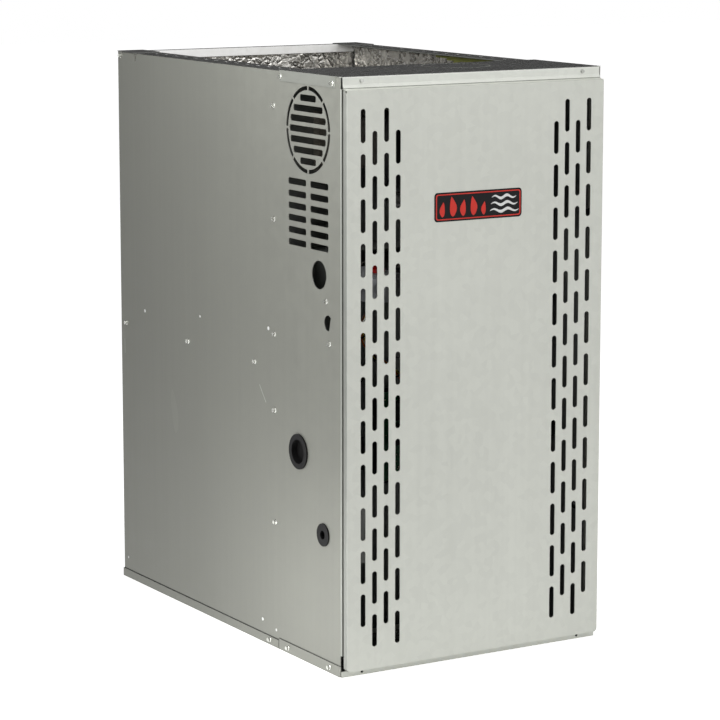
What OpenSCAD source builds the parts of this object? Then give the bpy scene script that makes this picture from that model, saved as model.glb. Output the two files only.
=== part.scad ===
// Forced air gas furnace, upflow, with a lift-off louvred door.
// X runs across the cabinet with 0 at its middle, Z runs up from the floor. Inside the modules,
// Y is the depth behind the cabinet's front plane: from_front() moves it into the part's frame.

/* [Cabinet] */
// Width across the side panels
cabinet_w = 445; // [435:1:455]
// Depth from the front plane to the back of the base
cabinet_d = 704; // [700:1:712]
// Height to the top of the front cover
cabinet_h = 864; // [860:1:870]
// Thickness of the cabinet's sheet steel
sheet = 1.2; // [1:0.1:1.4]
// Outer radius of the folded corners
fold_r = 2; // [1.6:0.1:3]

/* [Door] */
// How far the door stands in front of the cabinet
door_proud = 12; // [10:0.5:14]
// Width of the door
door_w = 441; // [430:1:443]
// Height of the door's lower edge
door_z0 = 10; // [10:1:14]
// Height of the door's upper edge
door_z1 = 845; // [840:1:845]
// Length of one louvre slot
slot_len = 48.1; // [40:0.1:52]
// Width of one louvre slot
slot_w = 8.1; // [5:0.1:9]
// Height between the slots of one column
slot_pitch = 63.35; // [60:0.05:64]
// Slots in one column
slot_rows = 12; // [8:1:12]

/* [Side grilles] */
// Outer diameter of the round knock-out
grille_d = 125; // [110:1:130]
// Depth of the grilles' middle behind the front plane
grille_depth = 92.2; // [88:0.1:96]
// Height of the round knock-out's middle
grille_z = 783; // [775:1:785]
// Radius of the gas pipe's hole
gas_hole_r = 20.5; // [16:0.5:22]

/* [Heating section] */
// Height of the burners and of the first pass of the tubes
burner_z = 566; // [562:1:570]
// Distance between neighbouring heat tubes
tube_pitch = 76; // [70:1:80]
// Outer radius of a heat tube
tube_r = 22; // [20:0.5:24]
// Height between two passes of a tube
pass_pitch = 63; // [60:1:64]
// Wall of a heat tube
tube_wall = 1.2; // [1:0.1:2]

/* [Blower] */
// Outer radius of the blower wheel
wheel_r = 127; // [120:1:130]
// Width of the blower wheel
wheel_w = 200; // [180:2:210]
// Blades round the blower wheel
blower_blades = 42; // [30:1:48]

/* [Hidden] */
$fn = 48;

// Colours of the finishes
zinc = [0.72, 0.73, 0.71];
zinc_dark = [0.52, 0.53, 0.52];
bright_steel = [0.8, 0.8, 0.8];
tube_steel = [0.6, 0.58, 0.55];
foil = [0.78, 0.78, 0.76];
black_plastic = [0.05, 0.05, 0.05];
white_ceramic = [0.93, 0.92, 0.88];
brass = [0.78, 0.62, 0.3];
red = [0.78, 0.1, 0.08];
board_green = [0.1, 0.35, 0.2];
motor_black = [0.12, 0.12, 0.13];
cast_grey = [0.66, 0.67, 0.68];

// The cabinet's own planes
half_w = cabinet_w / 2;
inner_w = half_w - sheet;
front_y = (door_proud - cabinet_d) / 2;
back_d = cabinet_d - sheet;            // back face of the side panels
back_inner_d = back_d - 2 * sheet;     // front face of the back panel
flange_top = cabinet_h - sheet;        // top of the duct flanges, under the front cover
cut = 1;                               // how far a cutting shape runs past a face
through = 3;                           // how far a drill runs to each side of a sheet's face
fold_gap = 0.3;                        // gap that a folded edge leaves for the next sheet

// Folds of the side panels
front_flange = 20;
rear_flange = 18;
duct_flange = 45;
duct_flange_d0 = 174;
duct_flange_d1 = 684;
perforation_inset = 25;
perforation_start = 10;
perforation_pitch = 33;
perforation_len = 8;
perforation_w = 2;
relief = 2;                            // width of the notches that end the bend of a duct flange
rear_relief_d = 638.2;
rear_relief_w = 4.5;
rear_relief_z = 850;
gusset_d = rear_relief_d + rear_relief_w;
foot_notch = [6, 2.6, 32];             // cut-out at the foot of a side panel's front bend

// Front cover and base
header_z = 848;
cover_d = 174;
lap_d0 = 14;
lap_d1 = 172;
header_return = 10;
header_gap = 3;                        // between the header's ends and the side panels
header_flare = 1.8;                    // how far the header's lower edge leans out
header_flare_z = 853;
vent_r = 51;
vent_slit = 1.6;
vent_tab = 5;
rail_d = 181.5;
rail_side_h = 16;
rail_front_h = 9;
pan_side_h = 13;
return_x = 182;
return_d0 = 222;
return_d1 = 662;

// Middle walls
divider_d = 198;                       // front face of the two panels behind the controls
divider_screw_d = 192;
divider_flange = 12;
deck_z = 431;                          // top face of the blower deck
deck_screw_z = 425;
deck_flange = 12;

// Holes in a side panel, as [depth, height]
wire_hole = [36.2, 512];
wire_hole_r = 11.2;
wire_flap_at = -5.6;                   // where the flap's bent edge crosses the hole
wire_flap_lean = 14;
plug_hole = [121, 311];
plug_hole_r = 22;
grommet_hole = [50, 201];
grommet_hole_r = 13;
grommet_bore_r = 6.5;
gas_hole = [61.5, 578.4];

// Screw shank and its tapped hole
screw_r = 2;
screw_hole_r = 1.8;

// Screws of one side panel, as [depth, height]
side_screws = [
  [41.6, 542.6], [32.1, 482.9], [692.7, 856.6],
  [252.4, deck_screw_z], [466.8, deck_screw_z], [682.3, deck_screw_z],
  [divider_screw_d, 811.3], [divider_screw_d, 645.1], [divider_screw_d, 475],
  [divider_screw_d, 360.7], [divider_screw_d, 191.8]
];
lap_screws = [[170, 854.9], [22.6, 853.4]];
base_side_screws = [[32.4, 8.2], [153.7, 7.9], [209, 7.9]];
header_screws_x = [-189.1, 188.8];
header_screw_z = 857.5;
rail_holes_x = [-188.1, 190.6];
rail_hole_z = 5;
rail_hole_r = 2.2;
back_screws_x = half_w - 9;
back_screws_z = [40, 235, 470, 660, 835];
deck_screws_x = [-150, 0, 150];        // screws through the back panel into the blower deck
screw_shank = 7;
base_screw_shank = 5;

// Insulation round the heating section
blanket = 12.7;
blanket_z0 = deck_z + 1;
blanket_z1 = 857;
rear_blanket_z1 = 849;
blanket_front_gap = 1;
blanket_rear_gap = 16;

// Door switch, snapped into the right front flange
switch_x = half_w - 12.5;
switch_z = 640;
switch_w = 14;
switch_h = 26;
plunger_r = 3;
door_gap = 0.3;                        // between the closed door and the plunger
plunger_d1 = 11;

// Heat tubes
tubes = 4;
port_r = tube_r - tube_wall;
rear_bend_d = 610;
front_bend_d = 265;
collector_z = burner_z + 3 * pass_pitch;
support_foot_x = 140;
support_foot_w = 20;
support_z = [712, 732];

// Inducer
scroll_d0 = 94;
scroll_d1 = 144;
inducer_wheel_r = 60;
inducer_shaft_r = 4;
inducer_shaft_d = [66, 120];
inducer_inlet_r = 32;
inducer_collar_r = 36;
inducer_collar_z1 = 846;
inducer_scroll = [66, 95];             // smallest and largest radius
tongue_angle = 95;                     // where both scrolls start
vent_x = (inducer_scroll[0] * cos(tongue_angle) + inducer_scroll[1]) / 2;
vent_d = (scroll_d0 + scroll_d1) / 2;
inducer_motor_r = 42;

// Gas train
burner_d0 = 110;
burner_d1 = 182;
burner_bell_r = 18;
burner_head_r = 19;
manifold_d = 92;
manifold_r = 9;
boss_d1 = 104;                         // where the bosses that carry the orifices end
orifice_thread_r = 4;
valve_x0 = -154.5;
valve_x1 = -100.5;
valve_d0 = 28;
valve_d1 = 81;
valve_z0 = 536;
valve_z1 = 576;
gas_inlet_z = 571;
gas_pipe_r = 10.5;
valve_outlet_x = -118;
nipple_r = 8;
nipple_d0 = 73;
knob_x = -129;
knob_stem_r = 4;

// Burner box and the switches on it
box_x = 165;
box_d0 = 106;
box_z0 = 536;
box_z1 = 600;
rollout_x = 130;
rollout_z = 618;
rollout_d = 168;
reset_r = 4;
reset_d = [6.5, 17];                   // ends of a reset button in front of its tab
probe_d = 190;
probe_sleeve_r = 6;
clip_front = 8;                        // reach of the probes' clip plates to the front and to the back
clip_back = 7;
blade_w = 6;                           // width of a push-on terminal blade
blade_t = 1;
limit_z = 662;
limit_stem_r = 4;

// Blower
blower_d = 440;
blower_z = 200;
blower_side_x = 118;
blower_scroll = [142, 195];
blower_inlet_r = 106;
blower_shaft_r = 6.35;
blower_shaft_x = [-20, 60];
blower_motor_r = 70;
blower_motor_x0 = 26;
blower_motor_x1 = 150;
run_fit = 0.05;                        // gap round a turning or sliding part

// Controls
board_x0 = -46;
board_x1 = 130;
board_z0 = 236;
board_z1 = 372;
board_d = 180;
board_t = 1.6;
tray_d0 = 186;
button_x = 104;
button_z = 258;
button_r = 2.5;
button_reach = [2.5, 7.5];             // ends of the button in front of the board

// Junction box behind the left grommet
junction_d = [18, 88];
junction_z = [160, 242];
junction_w = 58;

// Middles of the tube that each bundle of wires and the hose follow, in the part's X, depth, Z
motor_wires = [
  [60, 174, 366], [62, 160, 380], [84, 138, 410], [134, 112, 450], [176, 98, 520],
  [184, 92, 600], [180, 84, 672], [152, 72, 716], [104, 60, 742], [62, 54, 754], [40, 52, 756]
];
valve_wires = [
  [-6, 174, 366], [-10, 160, 380], [-50, 136, 412], [-108, 106, 450], [-140, 82, 484],
  [-142, 68, 508], [-134, 60, 526], [-128, 60, 537]
];
hose_line = [
  [170, 176, 688], [170, 176, 700], [178, 176, 720], [184, 176, 742], [176, 176, 760],
  [160, 176, 766], [150, 176, 766]
];
wire_r = 4;
hose_r = 4.5;
hose_port_r = 3;                       // spigot that the hose is pushed on

// ---------------------------------------------------------------- helpers

module from_front() translate([0, front_y, 0]) children();

// A box between two corners
module block(lo, hi) translate(lo) cube(hi - lo);

module rod_x(x0, x1, d, z, r) translate([x0, d, z]) rotate([0, 90, 0]) cylinder(r = r, h = x1 - x0);
module rod_y(d0, d1, x, z, r) translate([x, d0, z]) rotate([-90, 0, 0]) cylinder(r = r, h = d1 - d0);
module rod_z(z0, z1, x, d, r) translate([x, d, z0]) cylinder(r = r, h = z1 - z0);

// Flat shapes drawn as [depth, height], [x, height] and [x, depth] and made thick along the third way
module thick_x(x0, x1) translate([x0, 0, 0]) rotate([90, 0, 90]) linear_extrude(x1 - x0) children();
module thick_y(d0, d1) translate([0, d1, 0]) rotate([90, 0, 0]) linear_extrude(d1 - d0) children();
module thick_z(z0, z1) translate([0, 0, z0]) linear_extrude(z1 - z0) children();

// A rectangle about the origin with round corners
module round_rect(w, h, r) {
  square([w - 2 * r, h], center = true);
  square([w, h - 2 * r], center = true);
  for (sx = [-1, 1]) for (sy = [-1, 1]) translate([sx * (w / 2 - r), sy * (h / 2 - r)]) circle(r);
}

module box_2d(x0, y0, x1, y1) translate([x0, y0]) square([x1 - x0, y1 - y0]);

// The outline of a folded sheet seen along its folds: a C that opens towards +X
module folded_c(depth, first, last) {
  web = max(first, last) + fold_r;
  difference() {
    translate([web / 2, depth / 2]) round_rect(web, depth, fold_r);
    translate([web / 2 + sheet, depth / 2]) round_rect(web, depth - 2 * sheet, fold_r - sheet);
    translate([first, -cut]) square([web, depth / 2 + cut]);
    translate([last, depth / 2]) square([web, depth / 2 + cut]);
  }
}

// Outline of a blower scroll that grows from the tongue round to its outlet, which points up
function scroll_r(span, a) = span[0] + (span[1] - span[0]) * (a - tongue_angle) / (360 - tongue_angle);
function scroll_points(span, inset) = [
  for (a = [tongue_angle : (360 - tongue_angle) / 30 : 360.01])
    (scroll_r(span, a) - inset) * [cos(a), sin(a)]
];
module scroll_2d(span, outlet_y, inset) {
  tongue_x = span[0] * cos(tongue_angle) + inset;
  right_x = span[1] - inset;
  polygon(concat(scroll_points(span, inset), [[right_x, outlet_y], [tongue_x, outlet_y]]));
}

// A curve through hand-picked points, and a tube along it
function catmull(a, b, c, d, t) =
  0.5 * (2 * b + (c - a) * t + (2 * a - 5 * b + 4 * c - d) * t ^ 2 + (3 * b - 3 * c + d - a) * t ^ 3);
function smooth(p, steps) = concat(
  [for (i = [0 : len(p) - 2]) for (s = [0 : steps - 1])
    catmull(p[max(i - 1, 0)], p[i], p[i + 1], p[min(i + 2, len(p) - 1)], s / steps)],
  [p[len(p) - 1]]
);
function unit(v) = v / norm(v);
function heading(p, i) = unit(p[min(i + 1, len(p) - 1)] - p[max(i - 1, 0)]);
module bent_tube(line, r, sides = 10, steps = 3) {
  path = smooth(line, steps);
  n = len(path);
  across = [1, 0.37, 0.21];
  rings = [
    for (i = [0 : n - 1])
      let (t = heading(path, i), u = unit(cross(t, across)), v = cross(t, u))
        for (k = [0 : sides - 1]) path[i] + r * (u * cos(360 * k / sides) + v * sin(360 * k / sides))
  ];
  walls = [
    for (i = [0 : n - 2]) for (k = [0 : sides - 1])
      let (a = i * sides + k, b = i * sides + (k + 1) % sides)
        each [[a, b + sides, b], [a, a + sides, b + sides]]
  ];
  first_cap = [for (k = [1 : sides - 2]) [0, k, k + 1]];
  last = (n - 1) * sides;
  last_cap = [for (k = [1 : sides - 2]) [last, last + k + 1, last + k]];
  polyhedron(points = rings, faces = concat(walls, first_cap, last_cap));
}

// A hex washer head screw that points along -Z, with its seat at the origin
module screw(shank) {
  washer_r = 4.4;
  washer_h = 1;
  hex_r = 3.5;
  hex_h = 3.2;
  cylinder(r = washer_r, h = washer_h);
  cylinder(r = hex_r, h = washer_h + hex_h, $fn = 6);
  translate([0, 0, -shank]) cylinder(r = screw_r, h = shank + washer_h);
}

// ---------------------------------------------------------------- cabinet

// Cut-outs of a side panel, drawn as [depth, height]
module knock_out_ring() {
  slit = 5.8;
  tab = 3.4;
  difference() {
    circle(d = grille_d);
    circle(d = grille_d - 2 * slit);
    for (a = [0 : 45 : 135]) rotate(a) square([grille_d + cut, tab], center = true);
  }
}

module round_grille() {
  bar_h = 9.5;
  bar_pitch = 15.05;
  bar_lengths = [45, 83, 100, 104.6, 100, 83, 45];
  corner = 3.3;
  knock_out_ring();
  for (i = [0 : 6]) translate([0, (3 - i) * bar_pitch]) round_rect(bar_lengths[i], bar_h, corner);
}

module slot_field() {
  field_rows = 6;
  row_pitch = 17.65;
  top_z = 706.2;
  slot_h = 9.4;
  slot_l = 51;
  middles = [60.5, 123.5];
  corner = 3.3;
  for (d = middles) for (i = [0 : field_rows - 1])
    translate([d, top_z - i * row_pitch]) round_rect(slot_l, slot_h, corner);
}

// A round hole whose front edge is the straight bend of the flap that covered it
module wire_hole_2d() difference() {
  circle(wire_hole_r);
  translate([wire_flap_at, 0]) rotate(wire_flap_lean)
    translate([-2 * wire_hole_r, -2 * wire_hole_r]) square([2 * wire_hole_r, 4 * wire_hole_r]);
}

module side_cut_outs(open_services) {
  translate(plug_hole) circle(plug_hole_r);
  translate(grommet_hole) circle(grommet_hole_r);
  if (open_services) {
    translate([grille_depth, grille_z]) round_grille();
    slot_field();
    translate(gas_hole) circle(gas_hole_r);
    translate(wire_hole) wire_hole_2d();
  }
  for (p = concat(side_screws, lap_screws, base_side_screws)) translate(p) circle(screw_hole_r);
}

// Scored rings round the knock-outs of a panel whose services are still closed
module score_marks() {
  score_w = 1;
  for (k = [[grille_depth, grille_z, grille_d / 2], [gas_hole[0], gas_hole[1], gas_hole_r],
      [wire_hole[0], wire_hole[1], wire_hole_r]])
    translate([k[0], k[1]]) difference() {
      circle(k[2]);
      circle(k[2] - score_w);
    }
}

// A quarter of a bent sheet, from its outer side to its top
module bend_2d() intersection() {
  difference() {
    circle(fold_r);
    circle(fold_r - sheet);
  }
  translate([-fold_r - cut, 0]) square(fold_r + cut);
}

// Duct flange between two depths, with the bend that joins it to the side panel
module duct_flange_run(d0, d1) {
  thick_y(d0, d1) translate([-half_w + fold_r, flange_top - fold_r]) bend_2d();
  block([-half_w + fold_r, d0, flange_top - sheet], [-half_w + duct_flange, d1, flange_top]);
}

// The left panel; the right one is its mirror image with its grilles and service holes still closed
module side_panel(open_services) color(zinc) from_front() {
  flange_z1 = header_z - sheet;
  score_depth = 0.5;
  room = sheet + fold_gap;
  perforations = floor((duct_flange_d1 - duct_flange_d0) / perforation_pitch);
  difference() {
    translate([-half_w, 0, 0]) thick_z(sheet, flange_top) folded_c(back_d, front_flange, rear_flange);
    thick_x(-half_w - cut, -inner_w + cut) side_cut_outs(open_services);
    // the front flange leaves room for the base rail and the header
    block([-half_w - cut, -cut, 0], [-half_w + front_flange + cut, room, door_z0]);
    block([-half_w - cut, -cut, -cut], [-half_w + foot_notch[0], foot_notch[1], foot_notch[2]]);
    block([-half_w - cut, -cut, flange_z1], [-half_w + front_flange + cut, room, cabinet_h]);
    for (z = back_screws_z) rod_y(back_d - sheet - cut, back_d + cut, -back_screws_x, z, screw_hole_r);
    // the bend of the duct flange takes the place of the upper edge, between two notches
    block(
      [-half_w - cut, duct_flange_d0 - relief, flange_top - fold_r],
      [-inner_w + cut, duct_flange_d1 + relief, cabinet_h]
    );
    block([-half_w - cut, rear_relief_d, rear_relief_z], [-inner_w + cut, gusset_d, cabinet_h]);
    if (!open_services) {
      switch_cut_out();
      thick_x(-half_w - cut, -half_w + score_depth) score_marks();
    }
  }
  // duct flange with its perforated folding line
  difference() {
    union() {
      duct_flange_run(duct_flange_d0, rear_relief_d);
      duct_flange_run(gusset_d, duct_flange_d1);
    }
    for (i = [0 : perforations]) thick_z(flange_top - sheet - cut, flange_top + cut)
      translate([-half_w + perforation_inset, duct_flange_d0 + perforation_start + i * perforation_pitch])
        square([perforation_w, perforation_len], center = true);
  }
}

// Drawn on the left like the panel that it goes through, which is mirrored after that
module switch_cut_out() block(
  [-switch_x - switch_w / 2, -cut, switch_z - switch_h / 2],
  [-switch_x + switch_w / 2, sheet + cut, switch_z + switch_h / 2]
);

module left_side_panel() side_panel(true);
module right_side_panel() mirror([1, 0, 0]) side_panel(false);

module back_panel() color(zinc) from_front() {
  edge = 1.5;
  hem = 14;
  strip_h = 13;
  strip_x = inner_w - 4;
  bevel = 9;
  x = inner_w - edge;
  top = flange_top;
  difference() {
    block([-x, back_inner_d, sheet], [x, back_d - sheet, top]);
    for (s = [-1, 1]) for (z = back_screws_z)
      rod_y(back_inner_d - cut, back_d, s * back_screws_x, z, screw_hole_r);
    for (p = deck_screws_x) rod_y(back_inner_d - cut, back_d, p, deck_screw_z, screw_hole_r);
  }
  // hem that is folded forward and down over the duct opening
  block([-strip_x, back_inner_d - hem, top - sheet], [strip_x, back_inner_d, top]);
  thick_y(back_inner_d - hem, back_inner_d - hem + sheet) polygon([
    [-strip_x, top], [strip_x, top], [strip_x - bevel, top - strip_h], [-strip_x + bevel, top - strip_h]
  ]);
}

// Outline of the front cover seen from the side, as [depth, height]: the top with its front bend,
// the header, and the header's lower edge, which leans out over the door
module cover_2d() {
  translate([fold_r, cabinet_h - fold_r]) bend_2d();
  box_2d(0, header_flare_z, sheet, cabinet_h - fold_r);
  polygon([[0, header_flare_z], [-header_flare, header_z], [0, header_z], [sheet, header_flare_z]]);
}

module top_front_cover() color(zinc_dark) from_front() {
  return_inset = 22;
  header_x = half_w - header_gap;
  difference() {
    union() {
      thick_x(-header_x, header_x) cover_2d();
      block([-half_w - sheet, fold_r, flange_top], [half_w + sheet, cover_d, cabinet_h]);
      // fold that stiffens the header's lower edge
      block(
        [-half_w + return_inset, -header_flare / 2, header_z],
        [half_w - return_inset, header_return, header_z + sheet]
      );
      for (s = [-1, 1]) block(
        [min(s * half_w, s * (half_w + sheet)), lap_d0, header_z],
        [max(s * half_w, s * (half_w + sheet)), lap_d1, cabinet_h]
      );
    }
    // knock-out for the vent pipe, left in place on its tabs
    thick_z(flange_top - cut, cabinet_h + cut) translate([vent_x, vent_d]) difference() {
      circle(vent_r);
      circle(vent_r - vent_slit);
      for (a = [30, 90, 150]) rotate(a) square([2 * vent_r + cut, vent_tab], center = true);
    }
    for (x = header_screws_x) rod_y(-cut, sheet + cut, x, header_screw_z, screw_hole_r);
    for (s = [-1, 1]) for (p = lap_screws)
      rod_x(s * half_w - through, s * half_w + through, p[0], p[1], screw_hole_r);
  }
}

module base_front_rail() color(zinc) from_front() difference() {
  corner_seam = 2.4;
  corner_hole_r = 1.6;
  union() {
    block([-half_w, 0, 0], [half_w, rail_d, sheet]);
    block([-half_w - sheet, corner_seam, 0], [half_w + sheet, rail_d, sheet]);
    block([-half_w, 0, 0], [half_w, sheet, rail_front_h]);
    // the side folds start behind an open seam with a round hole at its foot
    for (s = [-1, 1]) block(
      [min(s * half_w, s * (half_w + sheet)), corner_seam, 0],
      [max(s * half_w, s * (half_w + sheet)), rail_d, rail_side_h]
    );
    block([-inner_w, rail_d - sheet, 0], [inner_w, rail_d, rail_front_h]);
  }
  for (x = rail_holes_x) rod_y(-cut, sheet + cut, x, rail_hole_z, rail_hole_r);
  for (s = [-1, 1]) {
    rod_z(-cut, sheet + cut, s * half_w, corner_seam, corner_hole_r);
    for (p = [base_side_screws[0], base_side_screws[1]])
      rod_x(s * half_w - through, s * half_w + through, p[0], p[1], screw_hole_r);
  }
}

module base_pan_rear() color(zinc) from_front() {
  seam = 0.6;
  lip = 12;
  d0 = rail_d + seam;
  rear_screw = base_side_screws[2];
  difference() {
    union() {
      block([-half_w - sheet, d0, 0], [half_w + sheet, cabinet_d, sheet]);
      for (s = [-1, 1]) block(
        [min(s * half_w, s * (half_w + sheet)), d0, 0],
        [max(s * half_w, s * (half_w + sheet)), cabinet_d, pan_side_h]
      );
      block([-half_w, back_d, 0], [half_w, cabinet_d, pan_side_h]);
      // lip that stiffens the return air opening
      block([-return_x - sheet, return_d0 - sheet, 0], [return_x + sheet, return_d1 + sheet, lip]);
    }
    block([-return_x, return_d0, -cut], [return_x, return_d1, lip + cut]);
    for (s = [-1, 1])
      rod_x(s * half_w - through, s * half_w + through, rear_screw[0], rear_screw[1], screw_hole_r);
  }
}

// Plates over the rear corners, where the duct flanges meet the back
module rear_corner_gussets() color(zinc_dark) from_front() for (s = [-1, 1]) block(
  [min(s * half_w, s * (half_w - duct_flange)), gusset_d, flange_top],
  [max(s * half_w, s * (half_w - duct_flange)), back_d, cabinet_h]
);

// A wall across the cabinet with its edges folded forward to the side panels
module cross_wall(z0, z1) {
  d1 = divider_d + sheet;
  difference() {
    union() {
      block([-inner_w, divider_d, z0], [inner_w, d1, z1]);
      for (s = [-1, 1]) block(
        [min(s * inner_w, s * (inner_w - sheet)), divider_d - divider_flange, z0],
        [max(s * inner_w, s * (inner_w - sheet)), d1, z1]
      );
    }
    for (p = side_screws) if (p[0] == divider_screw_d)
      rod_x(-half_w, half_w, p[0], p[1], screw_hole_r);
  }
}

function tube_x(i) = (i - (tubes - 1) / 2) * tube_pitch;

module vestibule_panel() color(zinc) from_front() {
  top = flange_top - 2 * sheet;
  fold_d0 = 160;
  fold_x = half_w - duct_flange - 1;
  stem_gap = 1;
  difference() {
    cross_wall(deck_z - deck_flange + stem_gap, top);
    for (i = [0 : tubes - 1]) for (z = [burner_z, collector_z])
      rod_y(divider_d - cut, divider_d + through, tube_x(i), z, port_r);
    rod_y(divider_d - cut, divider_d + through, 0, limit_z, limit_stem_r + stem_gap);
  }
  block([-fold_x, fold_d0, top - sheet], [fold_x, divider_d + sheet, top]);
}

module blower_access_panel() color(zinc) from_front() {
  gap = 0.6;
  grip_w = 90;
  grip_h = 22;
  grip_r = 10;
  grip = [-110, 396];
  difference() {
    cross_wall(sheet + gap, deck_z - deck_flange - gap);
    thick_y(divider_d - cut, divider_d + through) translate(grip) round_rect(grip_w, grip_h, grip_r);
  }
}

module blower_deck() color(zinc) from_front() {
  d0 = divider_d + sheet;
  x = inner_w;
  outlet_d0 = blower_d + blower_scroll[0] * cos(tongue_angle) + sheet;
  outlet_d1 = blower_d + blower_scroll[1] - sheet;
  difference() {
    union() {
      block([-x, d0, deck_z - sheet], [x, back_inner_d, deck_z]);
      for (s = [-1, 1]) block(
        [min(s * x, s * (x - sheet)), d0, deck_z - deck_flange],
        [max(s * x, s * (x - sheet)), back_inner_d, deck_z]
      );
      block([-x, back_inner_d - sheet, deck_z - deck_flange], [x, back_inner_d, deck_z]);
    }
    block(
      [-blower_side_x, outlet_d0, deck_z - sheet - cut],
      [blower_side_x, outlet_d1, deck_z + cut]
    );
    for (p = side_screws) if (p[1] == deck_screw_z) rod_x(-half_w, half_w, p[0], p[1], screw_hole_r);
    for (p = deck_screws_x) rod_y(back_inner_d - through, back_d, p, deck_screw_z, screw_hole_r);
  }
}

module insulation_side() block(
  [-inner_w, divider_d + sheet + blanket_front_gap, blanket_z0],
  [-inner_w + blanket, back_inner_d - blanket_rear_gap, blanket_z1]
);
module left_insulation() color(foil) from_front() insulation_side();
module right_insulation() color(foil) mirror([1, 0, 0]) from_front() insulation_side();
module rear_insulation() color(foil) from_front() difference() {
  x = inner_w - blanket;
  foot_gap = 1;
  block([-x, back_inner_d - blanket, blanket_z0], [x, back_inner_d, rear_blanket_z1]);
  // slits for the feet of the tube support
  for (s = [-1, 1]) translate([s * support_foot_x, 0, 0]) block(
    [-support_foot_w / 2 - foot_gap, back_inner_d - blanket - cut, support_z[0] - foot_gap],
    [support_foot_w / 2 + foot_gap, back_inner_d + cut, support_z[1] + foot_gap]
  );
}

// ---------------------------------------------------------------- door

// Louvre slots, drawn as [x, height]; every second pair of columns sits half a pitch lower
module louvre_columns() {
  column_insets = [29, 48.3, 67.6, 86.9];
  first_top = [819.3, 787.6, 819.3, 787.6];
  for (s = [-1, 1]) for (c = [0 : 3]) for (i = [0 : slot_rows - 1])
    translate([s * (half_w - column_insets[c]), first_top[c] - slot_len / 2 - i * slot_pitch]) {
      square([slot_w, slot_len - slot_w], center = true);
      for (e = [-1, 1]) translate([0, e * (slot_len - slot_w) / 2]) circle(d = slot_w);
    }
}

module door_panel() color(zinc) from_front() {
  back_gap = 0.4;
  side_gap = 3;
  corner = 6;
  top_rise = 2.6;
  corner_relief = [2, 1.5];
  corner_relief_r = 1.8;
  x = door_w / 2;
  deep = door_proud - back_gap;
  difference() {
    union() {
      // face and side folds
      difference() {
        thick_z(door_z0, door_z1) translate([0, fold_r - door_proud + deep / 2]) difference() {
          round_rect(door_w, deep + 2 * fold_r, fold_r);
          translate([0, sheet]) round_rect(door_w - 2 * sheet, deep + 2 * fold_r, fold_r - sheet);
        }
        block([-x - cut, -side_gap, door_z0 - cut], [x + cut, 2 * fold_r, door_z1 + cut]);
      }
      // the lower fold is level, and the upper one rises towards the header
      block(
        [-x + sheet / 2, -door_proud + sheet / 2, door_z0],
        [x - sheet / 2, -back_gap, door_z0 + sheet]
      );
      thick_x(-x + sheet / 2, x - sheet / 2) polygon([
        [-door_proud + sheet / 2, door_z1 - sheet], [-back_gap, door_z1 + top_rise - sheet],
        [-back_gap, door_z1 + top_rise], [-door_proud + sheet / 2, door_z1]
      ]);
    }
    // small round relief where the side and upper folds meet
    rod_x(-x - cut, x + cut, corner_relief[0] - door_proud, door_z1 - corner_relief[1], corner_relief_r);
    thick_y(-door_proud - cut, -door_proud + sheet + cut) louvre_columns();
    // clipped lower corners
    for (s = [-1, 1]) translate([s * x, 0, door_z0]) rotate([90, 45, 0])
      cube([corner, corner, 4 * door_proud], center = true);
  }
}

module door_badge() color(black_plastic) from_front() {
  badge_w = 150;
  badge_h = 42;
  badge_z = 673;
  badge_t = 0.8;
  corner = 5;
  edge = 2.4;
  groove_w = 1;
  groove_depth = 0.4;
  d = -door_proud;
  difference() {
    thick_y(d - badge_t, d) translate([0, badge_z]) round_rect(badge_w, badge_h, corner);
    thick_y(d - badge_t - cut, d - badge_t + groove_depth) translate([0, badge_z]) difference() {
      round_rect(badge_w - 2 * edge, badge_h - 2 * edge, corner - groove_w);
      round_rect(badge_w - 2 * edge - 2 * groove_w, badge_h - 2 * edge - 2 * groove_w, corner - 2 * groove_w);
    }
  }
}

// ---------------------------------------------------------------- heat exchanger

module u_bend(d, z) translate([0, d, z + pass_pitch / 2]) rotate([0, 90, 0])
  rotate_extrude(angle = 180) translate([pass_pitch / 2, 0]) tube_ring();

module tube_ring() difference() {
  circle(tube_r);
  circle(port_r);
}

module tube_pass(d0, d1, z) translate([0, d1, z]) rotate([90, 0, 0]) linear_extrude(d1 - d0) tube_ring();

module heat_tube(i) color(tube_steel) from_front() translate([tube_x(i), 0, 0]) {
  d0 = divider_d + sheet;
  z = [for (n = [0 : 3]) burner_z + n * pass_pitch];
  tube_pass(d0, rear_bend_d, z[0]);
  u_bend(rear_bend_d, z[0]);
  tube_pass(front_bend_d, rear_bend_d, z[1]);
  translate([0, front_bend_d, 0]) mirror([0, 1, 0]) u_bend(0, z[1]);
  tube_pass(front_bend_d, rear_bend_d, z[2]);
  u_bend(rear_bend_d, z[2]);
  tube_pass(d0, rear_bend_d, z[3]);
}

// Rail behind the upper bends, on two feet that pass through the blanket to the back
module tube_support() color(zinc_dark) from_front() {
  rail_x = support_foot_x + support_foot_w / 2;
  tube_gap = 0.2;
  d0 = rear_bend_d + pass_pitch / 2 + tube_r + tube_gap;
  block([-rail_x, d0, support_z[0]], [rail_x, d0 + sheet, support_z[1]]);
  for (s = [-1, 1]) translate([s * support_foot_x - support_foot_w / 2, 0, 0]) {
    block([0, d0, support_z[0]], [support_foot_w, back_inner_d, support_z[0] + sheet]);
    block([0, back_inner_d - sheet, support_z[0]], [support_foot_w, back_inner_d, support_z[1]]);
  }
}

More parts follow.
